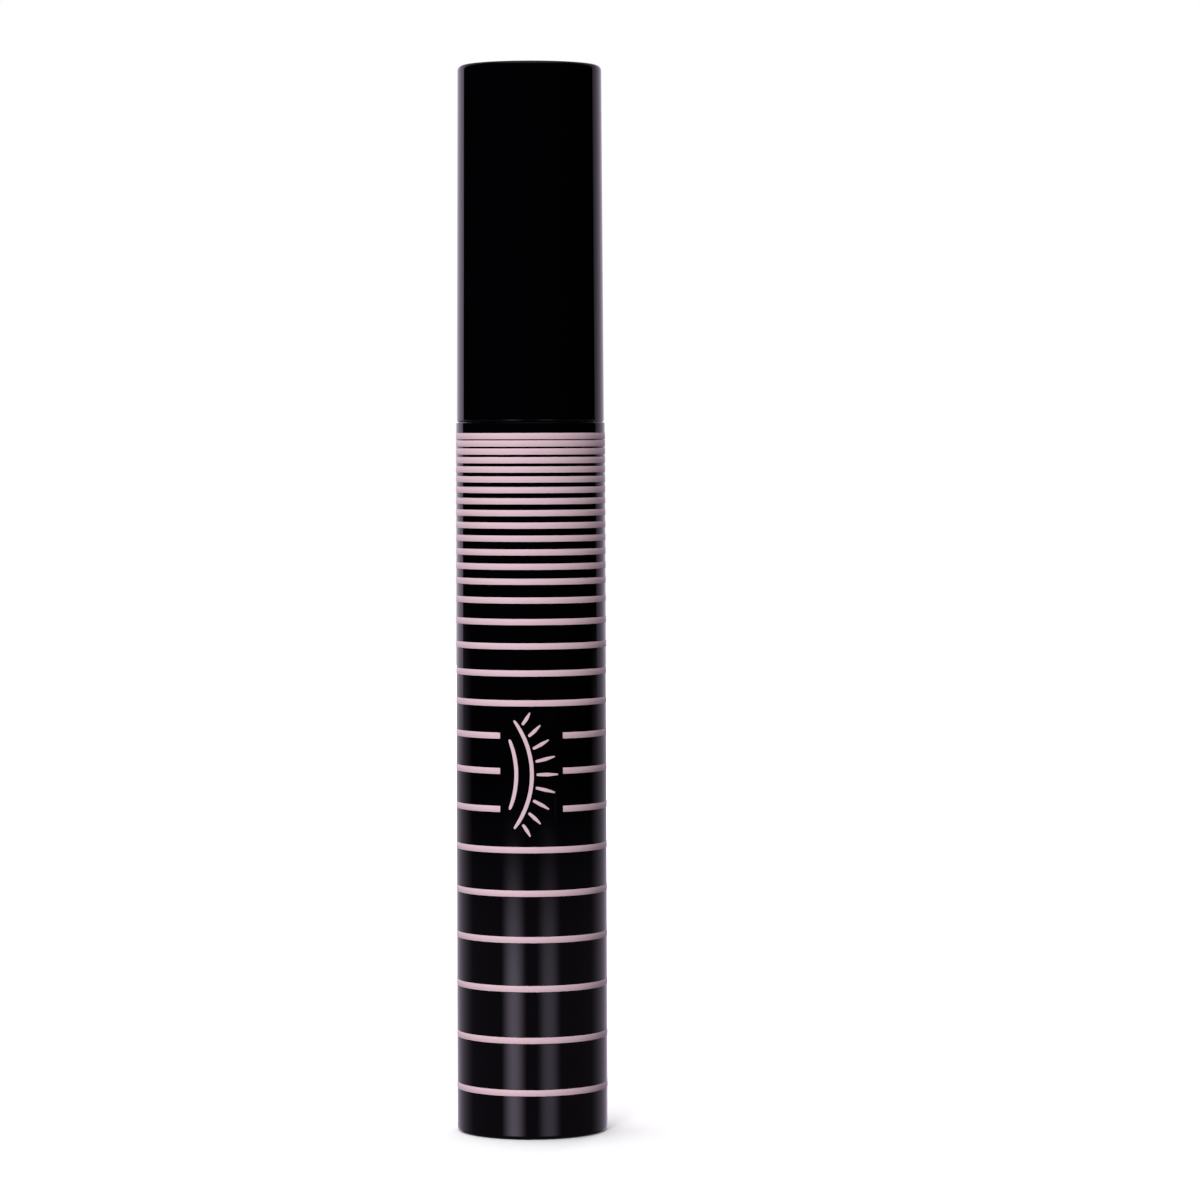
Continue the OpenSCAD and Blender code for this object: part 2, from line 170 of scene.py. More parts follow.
class CapSizes(bpy.types.PropertyGroup):
    step: length("Step", "How far the mouth stands back from the bottle's top", 0.1 * MM)
    draft: length("Draft", "How much the radius falls from the mouth to the end", 0.23 * MM)
    wall: length("Cap wall", "Wall of the overcap", 0.8 * MM)
    end_thickness: length("End thickness", "Thickness of the closed end", 1 * MM)
    end_edge: length("End edge", "Radius of the edge round the closed end", 0.7 * MM)
    mouth_edge: length("Mouth edge", "Radius of the edge round the mouth", 0.28 * MM)
    roof: length("Roof", "Thickness of the roof over the neck", 1.6 * MM)
    riser_wall: length("Riser wall", "Wall of the tube that carries the weight", 1.2 * MM)
    head_wall: length("Head seat wall", "Wall round the stem's flange", 0.8 * MM)
    snap: length("Snap bead", "How far the bead over the stem's flange stands in", 0.15 * MM)


class StemSizes(bpy.types.PropertyGroup):
    radius: length("Stem radius", "Radius of the stem under the cap", 2.2 * MM)
    low_radius: length("Low radius", "Radius of the stem where its nose starts", 2.16 * MM)
    nose_radius: length("Nose radius", "Radius of the nose's end", 1.8 * MM)
    nose: length("Nose length", "Length of the nose", 3.8 * MM)
    nose_edge: length("Nose edge", "Radius of the nose's rim", 0.35 * MM)
    wire_hole: length("Wire hole", "Radius of the hole that holds the wire", 0.7 * MM)
    wire_depth: length("Wire depth", "Depth of the hole that holds the wire", 12 * MM)
    flange: length("Flange", "Width of the head's flange beyond the stem", 1.4 * MM)
    flange_thickness: length("Flange thickness", "Thickness of the head's flange", 1.2 * MM)


class BrushSizes(bpy.types.PropertyGroup):
    strand: length("Strand radius", "Radius of the wire", 0.32 * MM)
    twist: length("Twist pitch", "Rise of one full twist of the wire", 3.1 * MM)
    radius: length("Brush radius", "Radius of the brush at its widest", 4.4 * MM)
    hair: length("Hair radius", "Radius of a bristle at its root", 0.055 * MM)
    hair_count: IntProperty(name="Bristles", description="Number of bristle ends", default=1700,
                            min=10)
    sweep: angle("Sweep", "How far the bristles lean towards the tip", 9)
    tip_sweep: angle("Tip sweep", "How far the last tuft leans", 27)
    fan: angle("Fan", "How far the bristles stray round the wire", 13)
    seed: IntProperty(name="Seed", description="Seed of the bristles' scatter", default=7)


class PrintSizes(bpy.types.PropertyGroup):
    edge: length("Ink edge", "Radius of a printed edge", 0.012 * MM)
    bite: length("Ink bite", "How far the print is pressed into the sleeve", 0.02 * MM)
    proud: length("Ink proud", "How far the print stands proud of the sleeve", 0.03 * MM)
    clear: length("Motif gap", "Width that the bands leave clear for the motif", 8 * MM)
    lid_length: length("Lid length", "Length of the closed lid along the tube", 13.8 * MM)
    lid_bulge: length("Lid bulge", "How far the closed lid bulges", 2.3 * MM)
    lid_offset: length("Lid offset", "How far the lid stands from the tube's middle", 1.1 * MM)
    crease_shift: length("Crease shift", "From the lid to the crease behind it", 2 * MM)
    crease_share: share("Crease share", "Length of the crease as a share of the lid", 0.62)
    stroke: length("Stroke", "Width of the strokes", 0.5 * MM)
    lashes: IntProperty(name="Lashes", description="Number of lashes", default=9, min=3)
    lash: length("Lash", "Length of the middle lash", 2.8 * MM)
    lash_gap: length("Lash gap", "Space between the lid and the lashes", 0.35 * MM)
    lash_spread: share("Lash spread", "Share of the lid that the lashes take up", 0.86)
    lash_fan: angle("Lash fan", "How far the end lashes turn away", 26)
    lash_shortening: share("Lash shortening", "How much shorter the end lashes are", 0.35)


class Finishes(bpy.types.PropertyGroup):
    gloss: tint("Gloss black", "Colour of the sleeve and the overcap", (0.0007, 0.0006, 0.0011))
    satin: tint("Satin black", "Colour of the inner mouldings and the stem", (0.009, 0.009, 0.010))
    ink: tint("Printing ink", "Colour of the bands and the motif", (0.80, 0.58, 0.64))
    wiper: tint("Wiper", "Colour of the milky wiper", (0.80, 0.79, 0.75))
    seal: tint("Seal", "Colour of the foam washer", (0.70, 0.69, 0.66))
    steel: tint("Steel", "Colour of the weight", (0.56, 0.56, 0.57))
    wire: tint("Wire", "Colour of the twisted wire", (0.74, 0.70, 0.72))
    nylon: tint("Nylon", "Colour of the bristles", (0.010, 0.009, 0.011))
    cream: tint("Mascara", "Colour of the mascara", (0.006, 0.005, 0.006))
    film: tint("Label film", "Colour of the label's film", (0.74, 0.70, 0.71))


class StageSizes(bpy.types.PropertyGroup):
    camera_distance: length("Camera distance", "From the tube's axis to the camera", 0.6)
    camera_height: length("Camera height", "Height of the camera above the floor", 0.0903)
    camera_pitch: angle("Camera pitch", "How far the camera looks down", 2.075)
    camera_yaw: angle("Camera yaw", "How far the camera looks past the tube", 0.856)
    camera_roll: angle("Camera roll", "How far the camera is turned about its view", 0.15)
    lens: FloatProperty(name="Lens", description="Focal length in millimetres", default=139.54)
    floor: length("Floor", "Half the width of the floor", 1.2)


GROUPS = {
    "mascara_bottle": BottleSizes, "mascara_thread": ThreadSizes, "mascara_wiper": WiperSizes,
    "mascara_cap": CapSizes, "mascara_stem": StemSizes, "mascara_brush": BrushSizes,
    "mascara_print": PrintSizes, "mascara_finish": Finishes, "mascara_stage": StageSizes,
}


# ---- node trees


class Graph:
    """Short ways to add nodes to a tree and to join them."""

    def __init__(self, tree):
        self.tree = tree
        tree.nodes.clear()

    def add(self, kind, feeds=None, out=0, **settings):
        """Adds a node and returns one of its outputs, or the node when out is None."""
        node = self.tree.nodes.new(kind)
        for name, value in settings.items():
            setattr(node, name, value)
        for key, value in (feeds or {}).items():
            self.feed(node.inputs[key], value)
        return node if out is None else node.outputs[out]

    def feed(self, socket, value):
        if isinstance(value, bpy.types.NodeSocket):
            self.tree.links.new(value, socket)
        else:
            socket.default_value = value

    def math(self, operation, *values, clamp=False):
        return self.add("ShaderNodeMath", dict(enumerate(values)), operation=operation,
                        use_clamp=clamp)

    def times(self, *values):
        return reduce(lambda a, b: self.math("MULTIPLY", a, b), values)

    def plus(self, *values):
        return reduce(lambda a, b: self.math("ADD", a, b), values)

    def minus(self, a, b):
        return self.math("SUBTRACT", a, b)

    def off(self, value, middle):
        """How far a value is from a middle one, on either side."""
        return self.math("ABSOLUTE", self.minus(value, middle))

    def vector(self, x=0.0, y=0.0, z=0.0):
        return self.add("ShaderNodeCombineXYZ", {0: x, 1: y, 2: z})

    def ramp(self, value, start, end, low=0.0, high=1.0, smooth=True):
        """Goes from low to high while the value goes from start to end."""
        return self.add("ShaderNodeMapRange", {0: value, 1: start, 2: end, 3: low, 4: high},
                        interpolation_type="SMOOTHSTEP" if smooth else "LINEAR")

    def blend(self, factor, a, b):
        return self.add("ShaderNodeMix", {0: factor, 6: a, 7: b}, out=2, data_type="RGBA")

    def noise(self, vector, scale, detail=3.0, rough=0.5):
        return self.add("ShaderNodeTexNoise",
                        {"Vector": vector, "Scale": scale, "Detail": detail, "Roughness": rough})

    def group(self, name, build, feeds):
        """The outputs of a shader group, which is built on first use."""
        return self.add("ShaderNodeGroup", feeds, out=None,
                        node_tree=group_once(name, build)).outputs


def group_tree(name, kind, ins, outs):
    """A node group with named inputs (name: (socket, default)) and outputs (name: socket)."""
    tree = bpy.data.node_groups.new(name, kind)
    graph = Graph(tree)
    for label, (socket, default) in ins.items():
        item = tree.interface.new_socket(label, in_out="INPUT", socket_type=socket)
        if default is not None:
            item.default_value = default
    for label, socket in outs.items():
        tree.interface.new_socket(label, in_out="OUTPUT", socket_type=socket)
    given = tree.nodes.new("NodeGroupInput").outputs
    taken = tree.nodes.new("NodeGroupOutput").inputs
    return graph, given, taken


FLOAT, COLOUR, VECTOR = "NodeSocketFloat", "NodeSocketColor", "NodeSocketVector"
GEOMETRY, FINISH, COUNT = "NodeSocketGeometry", "NodeSocketMaterial", "NodeSocketInt"


def group_once(name, build):
    """The node group of that name, built on first use."""
    return bpy.data.node_groups.get(name) or build(name)


def moulded_surface(name):
    """Fine grain and slow waviness of a moulding, as a height between 0 and 1."""
    graph, given, taken = group_tree(
        name, "ShaderNodeTree",
        {"Vector": (VECTOR, None), "Grain Scale": (FLOAT, 4000.0), "Grain": (FLOAT, 0.5),
         "Wave Scale": (FLOAT, 120.0), "Wave": (FLOAT, 0.5)},
        {"Height": FLOAT})
    grain = graph.noise(given["Vector"], given["Grain Scale"], 4.0, 0.6)
    wave = graph.noise(given["Vector"], given["Wave Scale"], 1.0)
    graph.feed(taken["Height"], graph.plus(graph.times(grain, given["Grain"]),
                                           graph.times(wave, given["Wave"])))
    return graph.tree


def handling_marks(name):
    """Roughness with faint smears and hairline scratches from handling."""
    graph, given, taken = group_tree(
        name, "ShaderNodeTree",
        {"Vector": (VECTOR, None), "Base": (FLOAT, 0.1), "Smears": (FLOAT, 0.05),
         "Scratches": (FLOAT, 0.1)},
        {"Roughness": FLOAT})
    smear = graph.ramp(graph.noise(given["Vector"], 90.0, 5.0, 0.62), 0.48, 0.72)
    stretched = graph.add("ShaderNodeMapping", {"Vector": given["Vector"],
                                                "Rotation": (0.35, 0.2, 0.6),
                                                "Scale": (2600.0, 2600.0, 60.0)})
    line = graph.ramp(graph.noise(stretched, 1.0, 1.0), 0.70, 0.76)
    patch = graph.ramp(graph.noise(given["Vector"], 160.0, 2.0), 0.5, 0.6)
    graph.feed(taken["Roughness"], graph.plus(
        given["Base"], graph.times(smear, given["Smears"]),
        graph.times(line, patch, given["Scratches"])))
    return graph.tree


def ink_film(name):
    """Colour and height of a printed ink film: slow density change and fine mottle."""
    graph, given, taken = group_tree(
        name, "ShaderNodeTree",
        {"Vector": (VECTOR, None), "Colour": (COLOUR, (1, 1, 1, 1)),
         "Thin": (COLOUR, (0.5, 0.5, 0.5, 1)), "Mottle Scale": (FLOAT, 3000.0),
         "Share": (FLOAT, 0.10)},
        {"Colour": COLOUR, "Height": FLOAT})
    mottle = graph.ramp(graph.noise(given["Vector"], given["Mottle Scale"], 3.0, 0.6), 0.35, 0.75)
    density = graph.ramp(graph.noise(given["Vector"], 140.0, 2.0), 0.3, 0.7)
    thin = graph.times(graph.plus(mottle, density), given["Share"])
    graph.feed(taken["Colour"], graph.blend(thin, given["Colour"], given["Thin"]))
    graph.feed(taken["Height"], mottle)
    return graph.tree


def finish(name, colour, rough, metal=0.0, marks=(0.0, 0.0), grain=(4000.0, 0.5),
           wave=(120.0, 0.5), bump=0.001 * MM, ink=None, sockets=None, paint=None):
    """A material over the shared groups. Marks are smears and scratches, grain and wave are
    (scale, share), bump is the relief's depth, and ink is the colour where a print is thin."""
    material = bpy.data.materials.new(name)
    material.use_nodes = True
    graph = Graph(material.node_tree)
    place = graph.add("ShaderNodeTexCoord", out="Object")
    wear = graph.group("Handling Marks", handling_marks, {
        "Vector": place, "Base": rough, "Smears": marks[0], "Scratches": marks[1]})
    base = (*colour, 1)
    if ink:
        film = graph.group("Ink Film", ink_film, {
            "Vector": place, "Colour": base, "Thin": (*ink, 1)})
        base, height = film["Colour"], film["Height"]
    else:
        height = graph.group("Moulded Surface", moulded_surface, {
            "Vector": place, "Grain Scale": grain[0], "Grain": grain[1],
            "Wave Scale": wave[0], "Wave": wave[1]})["Height"]
    if paint:
        base = paint(graph, place, base)
    normal = graph.add("ShaderNodeBump", {"Strength": 1.0, "Distance": bump, "Height": height})
    shader = graph.add("ShaderNodeBsdfPrincipled", {
        "Base Color": base, "Metallic": metal, "Roughness": wear["Roughness"],
        "IOR": 1.5, "Normal": normal, **(sockets or {})})
    graph.add("ShaderNodeOutputMaterial", {"Surface": shader}, out=None)
    return material


def turned_rings(graph, place, base):
    """Fine rings of lighter and darker steel from the lathe."""
    wave = graph.add("ShaderNodeTexWave", {"Vector": place, "Scale": 900.0, "Distortion": 0.6,
                                           "Detail": 2.0}, out="Fac",
                     wave_type="RINGS", rings_direction="Z")
    return graph.blend(graph.times(wave, 0.35), base, (0.30, 0.30, 0.32, 1))


def batch_pattern(graph, place, base):
    """A generic printed pattern on the base label: two rings, and a row of dots between."""
    dots_round = 36
    x, y, _ = graph.add("ShaderNodeSeparateXYZ", {0: place}, out=None).outputs
    r = graph.math("SQRT", graph.plus(graph.times(x, x), graph.times(y, y)))

    def ring(middle, half):
        """A printed ring, from its middle radius and half its width in millimetres."""
        return graph.ramp(graph.off(r, middle * MM), half * MM, (half + 0.04) * MM, 1.0, 0.0)

    around = graph.plus(graph.times(graph.math("ARCTAN2", y, x), dots_round / TURN),
                        dots_round / 2)
    dots = graph.ramp(graph.off(graph.math("FRACT", around), 0.5), 0.20, 0.24, 1.0, 0.0)
    pattern = graph.math("MAXIMUM", graph.math("MAXIMUM", ring(6.1, 0.1), ring(3.2, 0.06)),
                         graph.times(ring(5.2, 0.25), dots))
    return graph.blend(pattern, base, (0.05, 0.045, 0.05, 1))


def finishes():
    """The materials by the record's slot names, made on first use."""
    colours = bpy.context.scene.mascara_finish
    made = {
        "gloss_black": lambda n: finish(
            n, colours.gloss, 0.035, marks=(0.03, 0.05), grain=(2500.0, 0.2), wave=(60.0, 0.8),
            bump=0.0004 * MM),
        "satin_black": lambda n: finish(
            n, colours.satin, 0.30, marks=(0.10, 0.08), grain=(9000.0, 0.9), wave=(150.0, 0.3),
            bump=0.006 * MM),
        "pale_pink_print": lambda n: finish(
            n, colours.ink, 0.32, marks=(0.08, 0.05), bump=0.004 * MM,
            ink=[0.86 * c for c in colours.ink]),
        "label_film": lambda n: finish(
            n, colours.film, 0.38, marks=(0.06, 0.03), bump=0.003 * MM, paint=batch_pattern),
        "mascara_cream": lambda n: finish(
            n, colours.cream, 0.16, marks=(0.1, 0.0), grain=(900.0, 0.6), wave=(260.0, 0.8),
            bump=0.12 * MM, sockets={"Coat Weight": 0.5, "Coat Roughness": 0.06}),
        "wiper_plastic": lambda n: finish(
            n, colours.wiper, 0.36, marks=(0.06, 0.04), grain=(3500.0, 0.4), bump=0.004 * MM,
            sockets={"Subsurface Weight": 0.25, "Subsurface Scale": 0.6 * MM}),
        "seal_rubber": lambda n: finish(
            n, colours.seal, 0.78, grain=(5200.0, 1.0), wave=(900.0, 0.6), bump=0.03 * MM),
        "weight_steel": lambda n: finish(
            n, colours.steel, 0.28, metal=1.0, marks=(0.12, 0.12), bump=0.003 * MM,
            paint=turned_rings),
        "twisted_wire": lambda n: finish(
            n, colours.wire, 0.24, metal=1.0, marks=(0.12, 0.15), grain=(12000.0, 0.8),
            bump=0.004 * MM),
        "black_nylon": lambda n: finish(
            n, colours.nylon, 0.34, marks=(0.08, 0.0), grain=(14000.0, 0.8), bump=0.004 * MM),
    }
    named = {slot: slot.replace("_", " ").title() for slot in made}
    return {slot: bpy.data.materials.get(named[slot]) or build(named[slot])
            for slot, build in made.items()}


# ---- meshes


def put(name, mesh):
    piece = bpy.data.objects.new(name, mesh)
    bpy.context.scene.collection.objects.link(piece)
    return piece


def settle(piece, slot, body, *nodes):
    """Gives a piece its finish and its body, and hides the CAD nodes that it stands for."""
    mesh = piece.data
    mesh.materials.clear()
    mesh.materials.append(finishes()[slot])
    mesh.polygons.foreach_set("material_index", [0] * len(mesh.polygons))
    mesh.polygons.foreach_set("use_smooth", [True] * len(mesh.polygons))
    mesh.set_sharp_from_angle(angle=CREASE)
    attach(piece, body)
    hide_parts(*nodes)


def dress(node, slot):
    """Gives its finish to a CAD node that stays."""
    for place in frame["nodes"][node].material_slots:
        place.material = finishes()[slot]


def rounded(corners, closed, steps):
    """Points of an outline whose corners (r, z, radius) are rounded, with a support point just
    beyond each arc, so that the shading of an edge doesn't spread over its neighbours."""
    points, count = [], len(corners)
    for i, (x, z, radius) in enumerate(corners):
        ends = [corners[(i + k) % count] for k in (-1, 1)]
        if radius == 0 or (not closed and i in (0, count - 1)):
            points.append((x, z))
            continue
        ways = []
        for ex, ez, _ in ends:
            far = hypot(ex - x, ez - z)
            ways.append(((ex - x) / far, (ez - z) / far, far))
        (ax, az, a_far), (bx, bz, b_far) = ways
        half = 0.5 * (pi - abs(atan2(ax * bz - az * bx, ax * bx + az * bz)))
        back = radius * tan(half)
        if back < HAIRLINE:
            points.append((x, z))
            continue
        # an arc takes up less than half of either side, however large its radius
        back = min(back, 0.45 * a_far, 0.45 * b_far)
        radius = back / tan(half)
        spare = min(0.35 * radius, 0.04 * MM + 0.1 * back)
        mid = hypot(ax + bx, az + bz)
        reach = hypot(radius, back)
        cx, cz = x + (ax + bx) / mid * reach, z + (az + bz) / mid * reach
        start = (x + ax * back, z + az * back)
        points.append((start[0] + ax * spare, start[1] + az * spare))
        first = atan2(start[1] - cz, start[0] - cx)
        last = atan2(z + bz * back - cz, x + bx * back - cx)
        turn = (last - first + pi) % TURN - pi
        points += [(cx + radius * cos(first + turn * k / steps),
                    cz + radius * sin(first + turn * k / steps)) for k in range(steps + 1)]
        points.append((x + bx * (back + spare), z + bz * (back + spare)))
    return points


def lathe(name, corners, closed=True, segments=160, steps=6, extras=()):
    """A turned piece. Corners are (radius, height) or (radius, height, radius of the edge). An
    open outline starts and ends on the axis; a closed one is a ring. Extras are joined in."""
    outline = rounded([c if len(c) == 3 else (*c, 0) for c in corners], closed, steps)
    mesh = bmesh.new()
    turns = [(cos(TURN * k / segments), sin(TURN * k / segments)) for k in range(segments)]
    rows = []
    for r, z in outline:
        if r < HAIRLINE:
            rows.append([mesh.verts.new((0, 0, z))])
        else:
            rows.append([mesh.verts.new((r * c, r * s, z)) for c, s in turns])
    pairs = list(zip(rows, rows[1:])) + ([(rows[-1], rows[0])] if closed else [])
    for low, high in pairs:
        for k in range(segments):
            n = (k + 1) % segments
            ring = ([low[0]] if len(low) == 1 else [low[k], low[n]]) + (
                [high[0]] if len(high) == 1 else [high[n], high[k]])
            if len(ring) > 2:
                mesh.faces.new(ring)
    bmesh.ops.recalc_face_normals(mesh, faces=mesh.faces)
    data = bpy.data.meshes.new(name)
    mesh.to_mesh(data)
    mesh.free()
    for extra in extras:
        join_into(data, extra)
    return put(name, data)


def join_into(mesh, other):
    """Adds a second mesh to a first one, as a shell of its own."""
    both = bmesh.new()
    both.from_mesh(mesh)
    both.from_mesh(other)
    both.to_mesh(mesh)
    both.free()
    bpy.data.meshes.remove(other)


def from_nodes(name, tree, values, mesh=None):
    """The plain mesh that a Geometry Nodes tree makes with these inputs."""
    carrier = put(name, mesh or bpy.data.meshes.new(name))
    modifier = carrier.modifiers.new(name, "NODES")
    modifier.node_group = tree
    for item in tree.interface.items_tree:
        if item.item_type == "SOCKET" and item.in_out == "INPUT" and item.name in values:
            modifier[item.identifier] = values[item.name]
    carrier.update_tag()
    depsgraph = bpy.context.evaluated_depsgraph_get()
    result = bpy.data.meshes.new_from_object(carrier.evaluated_get(depsgraph),
                                             depsgraph=depsgraph)
    bpy.data.objects.remove(carrier)
    if not len(result.polygons):
        raise RuntimeError(f"{name}: its node tree made no faces")
    result.name = name
    return result


def outward(mesh):
    """Turns the faces of closed shells outwards."""
    shell = bmesh.new()
    shell.from_mesh(mesh)
    bmesh.ops.remove_doubles(shell, verts=shell.verts, dist=HAIRLINE)
    bmesh.ops.recalc_face_normals(shell, faces=shell.faces)
    shell.to_mesh(mesh)
    shell.free()
    return mesh


# ---- Geometry Nodes trees


def end_tree(graph, taken, geometry, material):
    """Ends a tree with Realize Instances and Set Material."""
    real = graph.add("GeometryNodeRealizeInstances", {0: geometry})
    graph.feed(taken[0], graph.add("GeometryNodeSetMaterial", {0: real, "Material": material}))
    return graph.tree


def swept(graph, curve, profile, scale=1.0):
    flat = graph.add("GeometryNodeSetCurveNormal", {0: curve}, mode="Z_UP")
    return graph.add("GeometryNodeCurveToMesh", {0: flat, 1: profile, "Scale": scale,
                                                 "Fill Caps": True})


def printed_rings(name):
    """Printed bands: a ring at each point of the input, as wide as the point's reach. Points
    marked as broken get an arc that leaves the front clear."""
    graph, given, taken = group_tree(
        name, "GeometryNodeTree",
        {"Points": (GEOMETRY, None), "Width": (FLOAT, 0.79 * MM), "Proud": (FLOAT, 0.03 * MM),
         "Bite": (FLOAT, 0.02 * MM), "Edge": (FLOAT, 0.01 * MM), "Clear": (FLOAT, 8 * MM),
         "Radius": (FLOAT, 9.7 * MM), "Segments": (COUNT, 192), "Finish": (FINISH, None)},
        {"Mesh": GEOMETRY})
    radius = graph.add("GeometryNodeInputNamedAttribute", {"Name": "reach"}, data_type="FLOAT")
    broken = graph.add("GeometryNodeInputNamedAttribute", {"Name": "broken"}, data_type="FLOAT")
    broken = graph.math("GREATER_THAN", broken, 0.5)
    points = graph.add("GeometryNodeMeshToPoints", {0: given["Points"]})
    half = graph.math("ARCSINE", graph.math("DIVIDE", graph.times(given["Clear"], 0.5),
                                            given["Radius"]))
    whole = graph.add("GeometryNodeCurvePrimitiveCircle", {0: given["Segments"], "Radius": 1.0})
    arc = graph.add("GeometryNodeCurveArc", {
        0: given["Segments"], "Radius": 1.0, "Start Angle": graph.plus(half, -pi / 2),
        "Sweep Angle": graph.minus(TURN, graph.times(half, 2.0))})

    def rings(selection, curve):
        return graph.add("GeometryNodeInstanceOnPoints", {
            0: points, "Selection": selection, "Instance": curve,
            "Scale": graph.vector(radius, radius, 1.0)})

    both = graph.add("GeometryNodeJoinGeometry", out=None)
    graph.feed(both.inputs[0], rings(broken, arc))
    graph.feed(both.inputs[0], rings(graph.minus(1.0, broken), whole))
    curves = graph.add("GeometryNodeRealizeInstances", {0: both.outputs[0]})
    thick = graph.plus(given["Proud"], given["Bite"])
    sheet = graph.add("GeometryNodeCurvePrimitiveQuadrilateral", {0: thick, 1: given["Width"]})
    edged = graph.add("GeometryNodeFilletCurve", {0: sheet, "Radius": given["Edge"], 1: 2},
                      mode="POLY")
    return end_tree(graph, taken, swept(graph, curves, edged), given["Finish"])


def helical_ridge(name):
    """A right-handed thread's ridge: a trapezium swept up a helix, smaller towards both of its
    ends. Facing is 1 for a ridge that stands outwards and -1 for one that stands inwards."""
    graph, given, taken = group_tree(
        name, "GeometryNodeTree",
        {"Geometry": (GEOMETRY, None), "Wall Radius": (FLOAT, 6 * MM), "Base": (FLOAT, 0.1),
         "Pitch": (FLOAT, 2.6 * MM), "Turns": (FLOAT, 1.25), "Depth": (FLOAT, 0.65 * MM),
         "Root": (FLOAT, 1.3 * MM), "Crest": (FLOAT, 0.6 * MM), "Sunk": (FLOAT, 0.2 * MM),
         "Edge": (FLOAT, 0.12 * MM), "Lead-in": (FLOAT, 0.1), "Blunt": (FLOAT, 0.35),
         "Facing": (FLOAT, 1.0), "Finish": (FINISH, None)},
        {"Mesh": GEOMETRY})
    helix = graph.add("GeometryNodeCurveSpiral", {
        "Resolution": 96, "Rotations": given["Turns"], "Start Radius": given["Wall Radius"],
        "End Radius": given["Wall Radius"],
        "Height": graph.times(given["Pitch"], given["Turns"]), "Reverse": True})
    helix = graph.add("GeometryNodeTransform", {
        0: helix, "Translation": graph.vector(z=given["Base"])})
    along = graph.add("GeometryNodeSplineParameter", out="Factor")
    from_end = graph.math("MINIMUM", along, graph.minus(1.0, along))
    swell = graph.ramp(from_end, 0.0, given["Lead-in"], given["Blunt"], 1.0, smooth=False)
    tall = graph.plus(given["Depth"], given["Sunk"])
    bar = graph.add("GeometryNodeCurvePrimitiveQuadrilateral", {
        "Height": tall, "Bottom Width": given["Root"], "Top Width": given["Crest"],
        "Offset": 0.0}, mode="TRAPEZOID")
    edged = graph.add("GeometryNodeFilletCurve", {0: bar, "Radius": given["Edge"], 1: 4},
                      mode="POLY")
    stand = graph.minus(graph.times(tall, 0.5), given["Sunk"])
    turned = graph.add("GeometryNodeTransform", {
        0: edged, "Rotation": (0, 0, -pi / 2), "Translation": graph.vector(stand)})
    faced = graph.add("GeometryNodeTransform", {
        0: turned, "Scale": graph.vector(given["Facing"], 1.0, 1.0)})
    return end_tree(graph, taken, swept(graph, helix, faced, swell), given["Finish"])


def twisted_strands(name):
    """One wire folded at the tip and twisted: two left-handed strands and the fold."""
    graph, given, taken = group_tree(
        name, "GeometryNodeTree",
        {"Geometry": (GEOMETRY, None), "Strand": (FLOAT, 0.32 * MM), "Offset": (FLOAT, 0.33 * MM),
         "Twist": (FLOAT, 3.1 * MM), "Base": (FLOAT, 7 * MM), "Height": (FLOAT, 39 * MM),
         "Finish": (FINISH, None)},
        {"Mesh": GEOMETRY})
    lift = graph.vector(z=given["Base"])
    spiral = graph.add("GeometryNodeCurveSpiral", {
        "Resolution": 20, "Rotations": graph.math("DIVIDE", given["Height"], given["Twist"]),
        "Start Radius": given["Offset"], "End Radius": given["Offset"],
        "Height": given["Height"], "Reverse": False})
    fold = graph.add("GeometryNodeCurveArc", {0: 17, "Radius": given["Offset"],
                                              "Start Angle": 0.0, "Sweep Angle": pi})
    joined = graph.add("GeometryNodeJoinGeometry", out=None)
    for curve, turn in ((spiral, (0, 0, 0)), (spiral, (0, 0, pi)), (fold, (-pi / 2, 0, 0))):
        graph.feed(joined.inputs[0], graph.add("GeometryNodeTransform", {
            0: curve, "Rotation": turn, "Translation": lift}))
    section = graph.add("GeometryNodeCurvePrimitiveCircle", {0: 14, "Radius": given["Strand"]})
    mesh = graph.add("GeometryNodeCurveToMesh", {0: joined.outputs[0], 1: section, 2: 1.0,
                                                 3: True})
    return end_tree(graph, taken, mesh, given["Finish"])


# the brush's outline: places along it from the tip, and radii, both as shares of its size
BRUSH_WAVE = (
    (0.00, 0.46), (0.06, 0.72), (0.19, 0.98), (0.30, 0.70), (0.46, 0.82),
    (0.56, 0.73), (0.71, 1.00), (0.80, 0.71), (0.90, 0.91), (1.00, 0.66),
)


